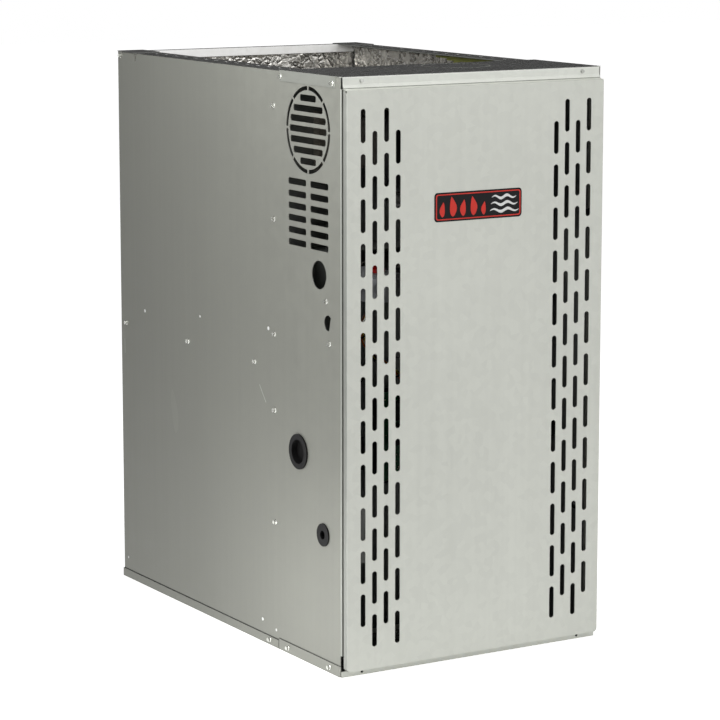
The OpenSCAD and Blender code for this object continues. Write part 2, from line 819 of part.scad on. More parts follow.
module collector_box() color(tube_steel) from_front() {
  x = 142;
  half_h = 34;
  z0 = collector_z - half_h;
  z1 = collector_z + half_h;
  d0 = scroll_d1;
  flange = 10;
  port = hose_line[len(hose_line) - 1];
  difference() {
    union() {
      block([-x, d0, z0], [x, divider_d, z1]);
      block([-x - flange, divider_d - sheet, z0 - flange], [x + flange, divider_d, z1 + flange]);
      rod_x(x - cut, port[0], port[1], port[2], hose_port_r);
    }
    block([-x + sheet, d0 + sheet, z0 + sheet], [x - sheet, divider_d + cut, z1 - sheet]);
    rod_y(d0 - cut, d0 + through, 0, collector_z, inducer_inlet_r);
  }
}

// ---------------------------------------------------------------- inducer

module inducer_housing() color(motor_black) from_front() translate([0, 0, collector_z]) {
  wall = 2;
  outlet_y = 62;
  collar_z1 = inducer_collar_z1 - collector_z;
  boss_r = 14;
  lug = [36, 5, 18];
  lug_x = inducer_scroll[1] - 24;
  difference() {
    union() {
      thick_y(scroll_d0, scroll_d1) scroll_2d(inducer_scroll, outlet_y, 0);
      rod_z(outlet_y - wall, collar_z1, vent_x, vent_d, inducer_collar_r);
      // lugs that hold the housing on the collector box
      for (a = [150, 230, 310]) rotate([0, -a, 0])
        block([lug_x, scroll_d1 - lug[1], -lug[2] / 2], [lug_x + lug[0], scroll_d1, lug[2] / 2]);
    }
    thick_y(scroll_d0 + wall, scroll_d1 - wall) scroll_2d(inducer_scroll, outlet_y - wall, wall);
    rod_z(outlet_y - 2 * wall, collar_z1 + cut, vent_x, vent_d, vent_d - scroll_d0 - wall);
    rod_z(outlet_y + wall, collar_z1 + cut, vent_x, vent_d, inducer_collar_r - wall);
    rod_y(scroll_d1 - wall - cut, scroll_d1 + cut, 0, 0, inducer_inlet_r);
    rod_y(scroll_d0 - cut, scroll_d0 + wall + cut, 0, 0, boss_r);
  }
}

module inducer_wheel() color(bright_steel) from_front() translate([0, 0, collector_z]) {
  side_gap = 8;
  d0 = scroll_d0 + side_gap;
  d1 = scroll_d1 - side_gap;
  plate = 1.5;
  hub_r = 10;
  hub_len = 16;
  eye_r = 44;
  inner_r = 38;
  blades = 24;
  blade_t = 1.2;
  difference() {
    union() {
      rod_y(d0, d0 + plate, 0, 0, inducer_wheel_r);
      rod_y(d0, d0 + hub_len, 0, 0, hub_r);
      for (i = [0 : blades - 1]) rotate([0, i * 360 / blades, 0])
        block([inner_r, d0, -blade_t / 2], [inducer_wheel_r - 1, d1, blade_t / 2]);
      difference() {
        rod_y(d1 - plate, d1, 0, 0, inducer_wheel_r);
        rod_y(d1 - plate - cut, d1 + cut, 0, 0, eye_r);
      }
    }
    rod_y(d0 - cut, d0 + hub_len + cut, 0, 0, inducer_shaft_r);
  }
}

module inducer_shaft() color(bright_steel) from_front()
  rod_y(inducer_shaft_d[0], inducer_shaft_d[1], 0, collector_z, inducer_shaft_r);

// Small open fan on the shaft that blows air over the motor
module inducer_cooling_fan() color(black_plastic) from_front() translate([0, 0, collector_z]) {
  d0 = 80;
  d1 = 88;
  hub_r = 9;
  tip_r = 31;
  plate = 1.2;
  blade_t = 1.4;
  difference() {
    union() {
      rod_y(d0, d1, 0, 0, hub_r);
      rod_y(d0, d0 + plate, 0, 0, tip_r);
      for (a = [0 : 45 : 315]) rotate([0, a, 0])
        block([hub_r - 1, d0, -blade_t / 2], [tip_r - 1, d1, blade_t / 2]);
    }
    rod_y(d0 - cut, d1 + cut, 0, 0, inducer_shaft_r);
  }
}

// Motor body with a band of cooling slots and three legs that reach the housing
module inducer_motor() color(motor_black) from_front() translate([0, 0, collector_z]) {
  d0 = 26;
  d1 = 76;
  cap_r = 22;
  cap_h = 6;
  leg_r = 3.5;
  leg_at = 36;
  leg_root = 4;
  bearing_d0 = inducer_shaft_d[0] - 4;
  vent = [5, 22, 3];
  vent_d0 = d0 + 8;
  difference() {
    union() {
      rod_y(d0, d1, 0, 0, inducer_motor_r);
      rod_y(d0 - cap_h, d0 + cut, 0, 0, cap_r);
      for (a = [90, 210, 330]) rotate([0, a, 0]) rod_y(d1 - leg_root, scroll_d0, leg_at, 0, leg_r);
    }
    rod_y(bearing_d0, d1 + cut, 0, 0, inducer_shaft_r + run_fit);
    for (a = [15 : 30 : 345]) rotate([0, a, 0]) block(
      [inducer_motor_r - vent[0], vent_d0, -vent[2] / 2],
      [inducer_motor_r + cut, vent_d0 + vent[1], vent[2] / 2]
    );
  }
}

// ---------------------------------------------------------------- burners and gas train

// Air mixing tube of one burner: a bell, a narrow throat and a wide head, spun from one profile
module burner(i) color(tube_steel) from_front() translate([tube_x(i), burner_d0, burner_z])
  rotate([-90, 0, 0]) rotate_extrude() {
    wall = 1;
    throat_r = 11;
    lip_len = 4;
    throat_z = [24, 44];
    head_z = 56;
    len = burner_d1 - burner_d0;
    polygon([
      [burner_bell_r - wall, 0], [burner_bell_r, 0], [burner_bell_r, lip_len], [throat_r, throat_z[0]],
      [throat_r, throat_z[1]], [burner_head_r, head_z], [burner_head_r, len],
      [burner_head_r - wall, len], [burner_head_r - wall, head_z + wall],
      [throat_r - wall, throat_z[1] + wall], [throat_r - wall, throat_z[0] - wall / 2],
      [burner_bell_r - wall, lip_len - wall / 2]
    ]);
  }

module burner_box() color(zinc) from_front() {
  roof_setback = 16;
  tab_w = 36;
  tab_z1 = rollout_z + tab_w / 2;
  cradle = 3;
  cradles_d = [burner_d0 + 2, burner_d1 - 8];
  difference() {
    union() {
      block([-box_x, box_d0, box_z0], [box_x, divider_d, box_z0 + sheet]);
      block([-box_x, box_d0 + roof_setback, box_z1 - sheet], [box_x, divider_d, box_z1]);
      for (s = [-1, 1]) {
        block(
          [min(s * box_x, s * (box_x - sheet)), box_d0, box_z0],
          [max(s * box_x, s * (box_x - sheet)), divider_d, box_z1]
        );
        block(
          [s * rollout_x - tab_w / 2, rollout_d, box_z1 - sheet],
          [s * rollout_x + tab_w / 2, rollout_d + sheet, tab_z1]
        );
      }
      // cradle that carries the burner heads
      for (d = cradles_d) block([-box_x, d, box_z0], [box_x, d + sheet, burner_z - cradle]);
    }
    for (i = [0 : tubes - 1]) {
      rod_y(cradles_d[0] - cut, cradles_d[0] + through, tube_x(i), burner_z, burner_bell_r + run_fit);
      rod_y(cradles_d[1] - cut, cradles_d[1] + through, tube_x(i), burner_z, burner_head_r + run_fit);
    }
    rod_x(-box_x - cut, box_x + cut, probe_d, burner_z, probe_sleeve_r);
  }
}

module gas_manifold() color(motor_black) from_front() {
  x = 136;
  wall = 2.2;
  end_cap = 3;
  boss_r = 7.5;
  difference() {
    union() {
      rod_x(-x, x, manifold_d, burner_z, manifold_r);
      for (i = [0 : tubes - 1]) rod_y(manifold_d, boss_d1, tube_x(i), burner_z, boss_r);
      rod_y(nipple_d0, manifold_d, valve_outlet_x, burner_z, nipple_r);
    }
    rod_x(-x + end_cap, x - end_cap, manifold_d, burner_z, manifold_r - wall);
    rod_y(nipple_d0 - cut, manifold_d, valve_outlet_x, burner_z, nipple_r - wall);
    for (i = [0 : tubes - 1]) rod_y(manifold_d, boss_d1 + cut, tube_x(i), burner_z, orifice_thread_r);
  }
}

// Hexagon nozzles, each with a thread behind and a snout that reaches into its burner
module burner_orifices() color(brass) from_front() {
  thread = 5;
  hex_r = 6;
  hex_h = 5;
  snout_r = 3.6;
  bore_r = 1.1;
  d0 = boss_d1 - thread;
  d1 = boss_d1 + hex_h + 5;
  for (i = [0 : tubes - 1]) difference() {
    union() {
      rod_y(d0, boss_d1, tube_x(i), burner_z, orifice_thread_r);
      translate([tube_x(i), boss_d1, burner_z]) rotate([-90, 0, 0]) cylinder(r = hex_r, h = hex_h, $fn = 6);
      rod_y(boss_d1 + hex_h, d1, tube_x(i), burner_z, snout_r);
    }
    rod_y(d0 - cut, d1 + cut, tube_x(i), burner_z, bore_r);
  }
}

module gas_valve_body() color(cast_grey) from_front() {
  inlet_x = valve_x0 - 10;
  inlet_len = 16;
  inlet_r = 14.5;
  step = 4;
  regulator = [-140, 556];
  regulator_r = 11;
  regulator_h = 8;
  coil_lo = [-124, valve_d0 - 6, 546];
  coil_hi = [-102, valve_d0 + 2, 568];
  terminals_lo = [-142, 50, valve_z0 - 4];
  terminals_hi = [-114, 68, valve_z0 + 2];
  stem_hole = 10;
  difference() {
    union() {
      block([valve_x0, valve_d0, valve_z0], [valve_x1, valve_d1, valve_z1 - step]);
      block([valve_x0 + step, valve_d0 + step, valve_z0], [valve_x1 - step, valve_d1, valve_z1]);
      rod_x(inlet_x, inlet_x + inlet_len + through, gas_hole[0], gas_inlet_z, inlet_r);
      rod_y(valve_d0 - regulator_h, valve_d0 + cut, regulator[0], regulator[1], regulator_r);
      block(coil_lo, coil_hi);
      block(terminals_lo, terminals_hi);
    }
    rod_x(inlet_x - cut, inlet_x + inlet_len, gas_hole[0], gas_inlet_z, gas_pipe_r);
    rod_y(nipple_d0, valve_d1 + cut, valve_outlet_x, burner_z, nipple_r);
    rod_z(valve_z1 - stem_hole, valve_z1 + cut, knob_x, gas_hole[0], knob_stem_r + run_fit);
  }
}

// Knob with a raised grip: it turns a quarter turn on the stem that sits in the valve
module gas_valve_knob() color(red) from_front() {
  z0 = valve_z1 + fold_gap;
  knob_r = 14;
  knob_h = 4;
  grip = [22, 6, 10];
  stem = 9.5;
  rod_z(valve_z1 - stem, z0 + 1, knob_x, gas_hole[0], knob_stem_r);
  rod_z(z0, z0 + knob_h, knob_x, gas_hole[0], knob_r);
  block(
    [knob_x - grip[0] / 2, gas_hole[0] - grip[1] / 2, z0 + knob_h - cut],
    [knob_x + grip[0] / 2, gas_hole[0] + grip[1] / 2, z0 + grip[2]]
  );
}

// Ceramic sleeve with its clip plate outside the burner box and a flat hot element inside
module igniter() color(white_ceramic) from_front() {
  sleeve_x = [152, 186];
  element = [38, 1.8, 6];
  element_x = sleeve_x[0] + 2 - element[0] - 2;
  clip_t = 3;
  clip_h = 28;
  rod_x(sleeve_x[0], sleeve_x[1], probe_d, burner_z, probe_sleeve_r);
  block(
    [element_x, probe_d - element[1] / 2, burner_z - element[2] / 2],
    [element_x + element[0] + 2, probe_d + element[1] / 2, burner_z + element[2] / 2]
  );
  block(
    [box_x, probe_d - clip_front, burner_z - clip_h / 2],
    [box_x + clip_t, probe_d + clip_back, burner_z + clip_h / 2]
  );
}

// Thin rod in a ceramic sleeve, on the other end of the burner box
module flame_sensor() color(white_ceramic) from_front() {
  sleeve_x = [154, 184];
  rod_ends = [114, 192];
  rod_r = 1.6;
  clip_t = 2;
  clip_h = 24;
  rod_x(-sleeve_x[1], -sleeve_x[0], probe_d, burner_z, probe_sleeve_r);
  rod_x(-rod_ends[1], -rod_ends[0], probe_d, burner_z, rod_r);
  block(
    [-box_x - clip_t, probe_d - clip_front, burner_z - clip_h / 2],
    [-box_x, probe_d + clip_back, burner_z + clip_h / 2]
  );
}

// Two round thermal switches, each with an ear plate, two blades and a well for its button
module rollout_switches() color(motor_black) from_front() {
  body_r = 11;
  body_h = 12;
  ear = [34, 2, 12];
  blade_x = 7;
  blade_z = 9;
  blade_len = 10;
  well = 8;
  for (s = [-1, 1]) difference() {
    x = s * rollout_x;
    union() {
      rod_y(rollout_d - body_h, rollout_d, x, rollout_z, body_r);
      block(
        [x - ear[0] / 2, rollout_d - ear[1], rollout_z - ear[2] / 2],
        [x + ear[0] / 2, rollout_d, rollout_z + ear[2] / 2]
      );
      for (t = [-1, 1]) block(
        [x + t * blade_x - blade_w / 2, rollout_d - blade_len * 2, rollout_z - blade_z],
        [x + t * blade_x + blade_w / 2, rollout_d - blade_len, rollout_z - blade_z + blade_t]
      );
    }
    rod_y(rollout_d - body_h - cut, rollout_d - body_h + well, x, rollout_z, reset_r + run_fit);
  }
}

module rollout_reset(s) color(red) from_front()
  rod_y(rollout_d - reset_d[1], rollout_d - reset_d[0], s * rollout_x, rollout_z, reset_r);
module rollout_reset_left() rollout_reset(-1);
module rollout_reset_right() rollout_reset(1);

module limit_switch() color(bright_steel) from_front() {
  plate = [48, 2, 22];
  body_r = 10;
  body_h = 14;
  stem_d1 = 252;
  blade_x = 6;
  blade_len = 10;
  block(
    [-plate[0] / 2, divider_d - plate[1], limit_z - plate[2] / 2],
    [plate[0] / 2, divider_d, limit_z + plate[2] / 2]
  );
  rod_y(divider_d - body_h, divider_d, 0, limit_z, body_r);
  rod_y(divider_d - plate[1], stem_d1, 0, limit_z, limit_stem_r);
  for (t = [-1, 1]) block(
    [t * blade_x - blade_w / 2, divider_d - body_h - blade_len + 2, limit_z - blade_t / 2],
    [t * blade_x + blade_w / 2, divider_d - body_h + 2, limit_z + blade_t / 2]
  );
}

// Round diaphragm switch on a foot, with the spigot that its hose is pushed on
module pressure_switch() color(motor_black) from_front() {
  port = hose_line[0];
  x = port[0];
  z = 655;
  rim_r = 30;
  rim_d = [176, 181];
  shell_d = [168, 190];
  nose_d0 = 160;
  nose_r = 12;
  foot_x = 24;
  foot_z = [34, 14];
  rod_y(shell_d[0], shell_d[1], x, z, rim_r - 3);
  rod_y(rim_d[0], rim_d[1], x, z, rim_r);
  rod_y(nose_d0, shell_d[0] + cut, x, z, nose_r);
  block([x - foot_x, shell_d[1], z - foot_z[0]], [x + foot_x, divider_d, z - foot_z[1]]);
  rod_z(z + rim_r - 6, port[2], x, port[1], hose_port_r);
}

module pressure_hose() color(black_plastic) from_front() bent_tube(hose_line, hose_r);

// ---------------------------------------------------------------- blower

module blower_housing() color(zinc) from_front() translate([0, blower_d, blower_z]) {
  outlet_y = deck_z - sheet - blower_z;
  flange = 14;
  x = blower_side_x + sheet;
  tongue_d = blower_scroll[0] * cos(tongue_angle);
  roll_r = 3;
  difference() {
    union() {
      thick_x(-x, x) scroll_2d(blower_scroll, outlet_y, 0);
      block(
        [-x - flange, tongue_d - flange, outlet_y - sheet],
        [x + flange, blower_scroll[1] + flange, outlet_y]
      );
    }
    thick_x(-blower_side_x, blower_side_x) scroll_2d(blower_scroll, outlet_y + cut, sheet);
    rod_x(-x - cut, x + cut, 0, 0, blower_inlet_r);
  }
  // rolled inlet rings
  for (s = [-1, 1]) translate([s * blower_side_x, 0, 0]) rotate([0, 90, 0]) rotate_extrude()
    translate([blower_inlet_r + roll_r - 0.5, 0]) circle(roll_r);
}

// Forward-curved blades between two end rings and a middle disc
module blower_wheel() color(zinc) from_front() translate([0, blower_d, blower_z]) {
  ring = 4;
  inner_r = 110;
  hub_r = 16;
  hub_x = [-14, 20];
  disc = 2;
  knee_r = inner_r + 8;
  tip_r = wheel_r - 1;
  blade = [[inner_r, -1], [knee_r, 0], [tip_r, 6], [tip_r, 7.2], [knee_r, 1], [inner_r, 0]];
  difference() {
    union() {
      for (s = [-1, 1]) difference() {
        rod_x(s * wheel_w / 2 - ring / 2, s * wheel_w / 2 + ring / 2, 0, 0, wheel_r);
        rod_x(s * wheel_w / 2 - ring, s * wheel_w / 2 + ring, 0, 0, inner_r);
      }
      rod_x(-disc / 2, disc / 2, 0, 0, tip_r);
      rod_x(hub_x[0], hub_x[1], 0, 0, hub_r);
      for (i = [0 : blower_blades - 1]) thick_x(-wheel_w / 2, wheel_w / 2)
        rotate(i * 360 / blower_blades) polygon(blade);
    }
    rod_x(hub_x[0] - cut, hub_x[1] + cut, 0, 0, blower_shaft_r);
  }
}

module blower_shaft() color(bright_steel) from_front()
  rod_x(blower_shaft_x[0], blower_shaft_x[1], blower_d, blower_z, blower_shaft_r);

// Motor shell with a bearing tube inside; its vents open into the hollow round the tube
module blower_motor() color(motor_black) from_front() translate([0, blower_d, blower_z]) {
  shell = 6;
  x0 = blower_motor_x0;
  x1 = blower_motor_x1;
  shoulder = 4;
  boss = 18;
  boss_h = 8;
  vent_w = 6;
  vent_reach = [38, 58];
  bearing_x1 = blower_shaft_x[1] + 6;
  difference() {
    union() {
      rod_x(x0 + shoulder, x1 - shoulder, 0, 0, blower_motor_r);
      rod_x(x0, x1, 0, 0, blower_motor_r - shell);
      rod_x(x1 - cut, x1 + boss_h, 0, 0, boss);
    }
    difference() {
      rod_x(x0 + shell, x1 - shell, 0, 0, blower_motor_r - shell);
      rod_x(x0, x1, 0, 0, boss);
    }
    rod_x(x0 - cut, bearing_x1, 0, 0, blower_shaft_r + run_fit);
    for (a = [0 : 30 : 330]) rotate([a, 0, 0])
      block([x0 - cut, vent_reach[0], -vent_w / 2], [x0 + shell + cut, vent_reach[1], vent_w / 2]);
  }
}

// Band round the motor with three arms to the side of the housing
module motor_bracket() color(zinc_dark) from_front() translate([0, blower_d, blower_z]) {
  x0 = blower_side_x + sheet;
  band_w = 22;
  band_t = 2;
  arm_end = 128;
  arm_w = 20;
  arm_x = [x0 + 4, x0 + 7];
  pad = 14;
  difference() {
    union() {
      rod_x(x0, x0 + band_w, 0, 0, blower_motor_r + band_t);
      for (a = [30, 150, 270]) rotate([a, 0, 0]) {
        block([arm_x[0], blower_motor_r, -arm_w / 2], [arm_x[1], arm_end, arm_w / 2]);
        block([x0, arm_end - pad, -arm_w / 2], [arm_x[1], arm_end, arm_w / 2]);
      }
    }
    rod_x(x0 - cut, x0 + band_w + cut, 0, 0, blower_motor_r);
  }
}

// Capacitor in its strap on the left side of the blower housing
module run_capacitor() color(bright_steel) from_front() {
  can_r = 20;
  wall_x = -blower_side_x - sheet;
  x = wall_x - can_r - 3;
  d = 330;
  z = [250, 318];
  lid_r = 17;
  lid_h = 3;
  blade_at = 8;
  blade_len = 12;
  strap_t = 1;
  strap_r = can_r + strap_t;
  strap_z = [z[0] + 24, z[0] + 40];
  rod_z(z[0], z[1], x, d, can_r);
  rod_z(z[1] - cut, z[1] + lid_h, x, d, lid_r);
  for (t = [-1, 1]) block(
    [x - blade_w / 2, d + t * blade_at - blade_t / 2, z[1]],
    [x + blade_w / 2, d + t * blade_at + blade_t / 2, z[1] + blade_len]
  );
  difference() {
    union() {
      rod_z(strap_z[0], strap_z[1], x, d, strap_r);
      block([x, d - strap_r, strap_z[0]], [wall_x, d + strap_r, strap_z[1]]);
    }
    rod_z(strap_z[0] - cut, strap_z[1] + cut, x, d, can_r);
    block([x, d - can_r, strap_z[0] - cut], [wall_x - strap_t, d + can_r, strap_z[1] + cut]);
  }
}

// ---------------------------------------------------------------- controls

module control_tray() color(black_plastic) from_front() {
  edge = 5;
  wall = 2;
  post_r = 4;
  post_in = 8;
  lo = [board_x0 - edge, tray_d0, board_z0 - edge];
  hi = [board_x1 + edge, divider_d, board_z1 + edge];
  difference() {
    block(lo, hi);
    block([lo[0] + wall, tray_d0 - cut, lo[2] + wall], [hi[0] - wall, divider_d - wall, hi[2] - wall]);
  }
  for (x = [board_x0 + post_in, board_x1 - post_in]) for (z = [board_z0 + post_in, board_z1 - post_in])
    rod_y(board_d + board_t, divider_d - wall + cut, x, z, post_r);
}

// Board with its relays, plugs, screw terminals and fuse
module control_board() color(board_green) from_front() {
  relays = [[-30, 330], [-2, 330], [-30, 292]];
  relay = [22, 16, 28];
  plugs = [[-14, 350], [46, 350]];
  plug = [28, 9, 12];
  terminal = [64, 10, 11];
  terminal_at = [20, board_z0 + 4];
  fuse = [28, 12, 6];
  fuse_at = [70, 300];
  button_box = [10, 5, 10];
  button_box_at = [button_x - button_box[0] / 2, button_z - button_box[2] / 2];
  block([board_x0, board_d, board_z0], [board_x1, board_d + board_t, board_z1]);
  for (p = relays) on_board(p, relay);
  for (p = plugs) on_board(p, plug);
  on_board(terminal_at, terminal);
  on_board(fuse_at, fuse);
  difference() {
    on_board(button_box_at, button_box);
    rod_y(board_d - button_box[1] - cut, board_d - cut, button_x, button_z, button_r + run_fit);
  }
}

// A component with its lower left corner at a place of the board, sunk a little into it
module on_board(at, size) {
  sunk = 0.5;
  block([at[0], board_d - size[1], at[1]], [at[0] + size[0], board_d + sunk, at[1] + size[2]]);
}

module fault_button() color(red) from_front()
  rod_y(board_d - button_reach[1], board_d - button_reach[0], button_x, button_z, button_r);

// Laminated core with its two coils and mounting feet
module transformer() color(motor_black) from_front() {
  x0 = -150;
  z0 = 262;
  core = [62, 22, 50];
  coil = [38, 46, 28];
  foot_t = 2;
  foot = 10;
  mid_d = divider_d - 26;
  block([x0, mid_d - core[1] / 2, z0], [x0 + core[0], mid_d + core[1] / 2, z0 + core[2]]);
  block(
    [x0 + (core[0] - coil[0]) / 2, mid_d - coil[1] / 2, z0 + (core[2] - coil[2]) / 2],
    [x0 + (core[0] + coil[0]) / 2, mid_d + coil[1] / 2, z0 + (core[2] + coil[2]) / 2]
  );
  for (e = [0, 1]) {
    x = x0 + e * (core[0] - foot_t);
    block([x, mid_d, z0], [x + foot_t, divider_d, z0 + core[2]]);
    block([x - foot * (1 - e), divider_d - foot_t, z0], [x + foot_t + foot * e, divider_d, z0 + core[2]]);
  }
}

module junction_box() color(zinc) from_front() difference() {
  x1 = -inner_w + junction_w;
  outlet_d = (junction_d[0] + junction_d[1]) / 2;
  outlet_r = 8;
  block([-inner_w, junction_d[0], junction_z[0]], [x1, junction_d[1], junction_z[1]]);
  block(
    [-inner_w + sheet, junction_d[0] + sheet, junction_z[0] + sheet],
    [x1 - sheet, junction_d[1] - sheet, junction_z[1] - sheet]
  );
  rod_x(-inner_w - cut, -inner_w + through, grommet_hole[0], grommet_hole[1], grommet_hole_r);
  rod_z(junction_z[1] - through, junction_z[1] + cut, -inner_w + junction_w / 2, outlet_d, outlet_r);
}

// Switch body snapped into the panel, with a rim in front and two terminal blades behind
module door_switch_body() color(motor_black) from_front() {
  fit_gap = 0.1;
  x = switch_w / 2;
  z = switch_h / 2;
  body_d1 = 22;
  rim = 1.5;
  rim_t = 1.4;
  blade_at = 7;
  blade_len = 8;
  translate([switch_x, 0, switch_z]) difference() {
    union() {
      block([-x + fit_gap, -cut, -z + fit_gap], [x - fit_gap, body_d1, z - fit_gap]);
      block([-x - rim, -rim_t, -z - rim], [x + rim, 0, z + rim]);
      for (t = [-1, 1]) block(
        [-blade_w / 2, body_d1 - cut, t * blade_at - blade_t / 2],
        [blade_w / 2, body_d1 + blade_len, t * blade_at + blade_t / 2]
      );
    }
    rod_y(-rim_t - cut, plunger_d1 + 5, 0, 0, plunger_r + run_fit);
  }
}

// Plunger that the closed door holds in
module door_switch_plunger() color(white_ceramic) from_front()
  rod_y(-door_proud + sheet + door_gap, plunger_d1, switch_x, switch_z, plunger_r);

// ---------------------------------------------------------------- plugs, grommets, screws, wires

// Draws a left-hand piece on both sides
module each_side() {
  children();
  mirror([1, 0, 0]) children();
}

// Push-in cap: a flat rim outside, a cup with a recessed floor, and a lip that snaps in behind
module large_hole_plugs() color(black_plastic) from_front() each_side() {
  rim_r = 26;
  rim_t = 2.4;
  cup = 8;
  floor_t = 2;
  wall = 4;
  fit_gap = 0.1;
  lip = [0.2, 2.2];
  lip_r = plug_hole_r + 0.8;
  d = plug_hole[0];
  z = plug_hole[1];
  difference() {
    union() {
      rod_x(-half_w - rim_t, -half_w, d, z, rim_r);
      rod_x(-half_w - cut, -inner_w + cup, d, z, plug_hole_r - fit_gap);
      rod_x(-inner_w + lip[0], -inner_w + lip[1], d, z, lip_r);
    }
    rod_x(-half_w - rim_t - cut, -inner_w + cup - floor_t, d, z, plug_hole_r - wall);
  }
}

module cable_grommets() color(black_plastic) from_front() each_side() {
  rim_r = 16.7;
  rim_t = 2.2;
  fit_gap = 0.1;
  inner_len = 2;
  d = grommet_hole[0];
  z = grommet_hole[1];
  difference() {
    union() {
      rod_x(-half_w - rim_t, -half_w, d, z, rim_r);
      rod_x(-half_w - cut, -inner_w + inner_len, d, z, grommet_hole_r - fit_gap);
    }
    rod_x(-half_w - rim_t - cut, -inner_w + inner_len + cut, d, z, grommet_bore_r);
  }
}

module screw_x(side, d, z, seat, shank)
  translate([side * seat, d, z]) rotate([0, side * 90, 0]) screw(shank);
module screw_y(x, z, seat, shank, facing)
  translate([x, seat, z]) rotate([facing * 90, 0, 0]) screw(shank);

module casing_screws() color(bright_steel) from_front() {
  for (s = [-1, 1]) {
    for (p = side_screws) screw_x(s, p[0], p[1], half_w, screw_shank);
    for (p = lap_screws) screw_x(s, p[0], p[1], half_w + sheet, screw_shank);
    for (p = base_side_screws) screw_x(s, p[0], p[1], half_w + sheet, base_screw_shank);
    for (z = back_screws_z) screw_y(s * back_screws_x, z, back_d, screw_shank, -1);
  }
  for (x = deck_screws_x) screw_y(x, deck_screw_z, back_d - sheet, screw_shank, -1);
  for (x = header_screws_x) screw_y(x, header_screw_z, 0, screw_shank, 1);
}

module wire_harness() color(black_plastic) from_front() {
  sides = 8;
  bent_tube(motor_wires, wire_r, sides);
  bent_tube(valve_wires, wire_r, sides);
}

left_side_panel();
right_side_panel();
back_panel();
top_front_cover();
base_front_rail();
base_pan_rear();
rear_corner_gussets();
vestibule_panel();
blower_deck();
blower_access_panel();
door_panel();
door_badge();
left_insulation();
right_insulation();
rear_insulation();
heat_tube(0);  // heat_tube_1
heat_tube(1);  // heat_tube_2
heat_tube(2);  // heat_tube_3
heat_tube(3);  // heat_tube_4
tube_support();
collector_box();
inducer_housing();
inducer_wheel();
inducer_shaft();
inducer_cooling_fan();
inducer_motor();
burner(0);  // burner_1
burner(1);  // burner_2
burner(2);  // burner_3
burner(3);  // burner_4
burner_box();
gas_manifold();
burner_orifices();
gas_valve_body();
gas_valve_knob();
igniter();
flame_sensor();
rollout_switches();
rollout_reset_left();
rollout_reset_right();
limit_switch();
pressure_switch();
pressure_hose();
blower_housing();
blower_wheel();
blower_shaft();
blower_motor();
motor_bracket();
run_capacitor();
control_board();
control_tray();
transformer();
fault_button();
door_switch_body();
door_switch_plunger();
junction_box();
large_hole_plugs();
cable_grommets();
casing_screws();
wire_harness();
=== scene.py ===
"""Forced air gas furnace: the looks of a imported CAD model, laid out as a Blender add-on."""

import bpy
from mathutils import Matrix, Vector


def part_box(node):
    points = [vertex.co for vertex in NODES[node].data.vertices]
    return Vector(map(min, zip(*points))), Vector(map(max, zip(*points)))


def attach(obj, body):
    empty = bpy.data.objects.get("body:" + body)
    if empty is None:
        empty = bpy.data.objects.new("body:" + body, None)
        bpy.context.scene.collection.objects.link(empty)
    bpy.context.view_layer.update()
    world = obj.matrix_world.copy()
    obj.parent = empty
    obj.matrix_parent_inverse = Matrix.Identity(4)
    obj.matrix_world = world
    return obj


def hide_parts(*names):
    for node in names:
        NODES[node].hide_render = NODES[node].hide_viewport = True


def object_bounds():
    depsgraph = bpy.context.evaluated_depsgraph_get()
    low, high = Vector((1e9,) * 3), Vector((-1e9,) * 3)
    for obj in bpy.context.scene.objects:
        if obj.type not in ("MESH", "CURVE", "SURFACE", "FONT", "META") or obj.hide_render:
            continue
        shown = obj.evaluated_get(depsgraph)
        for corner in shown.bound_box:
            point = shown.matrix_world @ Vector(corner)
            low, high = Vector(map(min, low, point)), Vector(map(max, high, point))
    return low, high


bl_info = {
    "name": "Forced air gas furnace",
    "version": (1, 0, 0),
    "blender": (4, 5, 0),
    "location": "3D View > Sidebar > Furnace",
    "description": "Finishes, fasteners, insulation, wiring and studio for a gas furnace",
    "category": "Object",
}

import math

import bmesh
import bpy
from bpy.props import FloatProperty, FloatVectorProperty, IntProperty, PointerProperty
from mathutils import Matrix, Vector

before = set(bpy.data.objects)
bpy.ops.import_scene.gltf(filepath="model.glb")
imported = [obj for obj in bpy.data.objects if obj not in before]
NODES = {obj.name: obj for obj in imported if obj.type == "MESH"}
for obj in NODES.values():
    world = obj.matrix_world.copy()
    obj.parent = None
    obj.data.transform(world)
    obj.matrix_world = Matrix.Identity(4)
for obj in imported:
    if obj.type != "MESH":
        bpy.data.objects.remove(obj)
CAD_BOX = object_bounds()
MM = 0.001

# How far from a sheet's face a point still counts as lying on it
SKIN = 0.9 * MM

# Faint dimples of the left panel, as depth behind the front plane and height in millimetres
DIMPLES = ((616, 453), (427, 469.5), (210.7, 480.8), (687, 33.5), (232.8, 34), (191, 26.7))
DIMPLE_PROFILE = ((0, -0.1), (2.6, -0.1), (2.4, 0.12), (1.8, 0.22), (1.1, 0.12), (0, 0.04))
DIMPLE_SCALES = (0.8, 1.25)

# Bright scratches of the left panel, each between two points given as depth and height in millimetres
SCRATCHES = (((239, 392.2), (219, 368)), ((690, 398), (689.5, 374)))
SCRATCH_W = 1.1 * MM

# The perforations of the duct flanges in millimetres: first and last depth, and their pitch
PERFORATIONS = (184, 679)
PERFORATION_PITCH = 33
PERFORATION_INSET = 25 * MM

# The lip round a perforation in millimetres: half the slot's width and length, and the lip's width and height
LIP_SIZE = (1.0, 4.0, 0.7, 0.35)

# The wire hole of the left panel in millimetres: its middle, its radius, and the chord its flap is bent on
WIRE_HOLE = (36.2, 512)
WIRE_HOLE_R = 11.2
WIRE_FLAP_AT = 5.6
WIRE_FLAP_LEAN = 14
FLAP_STEPS = 14

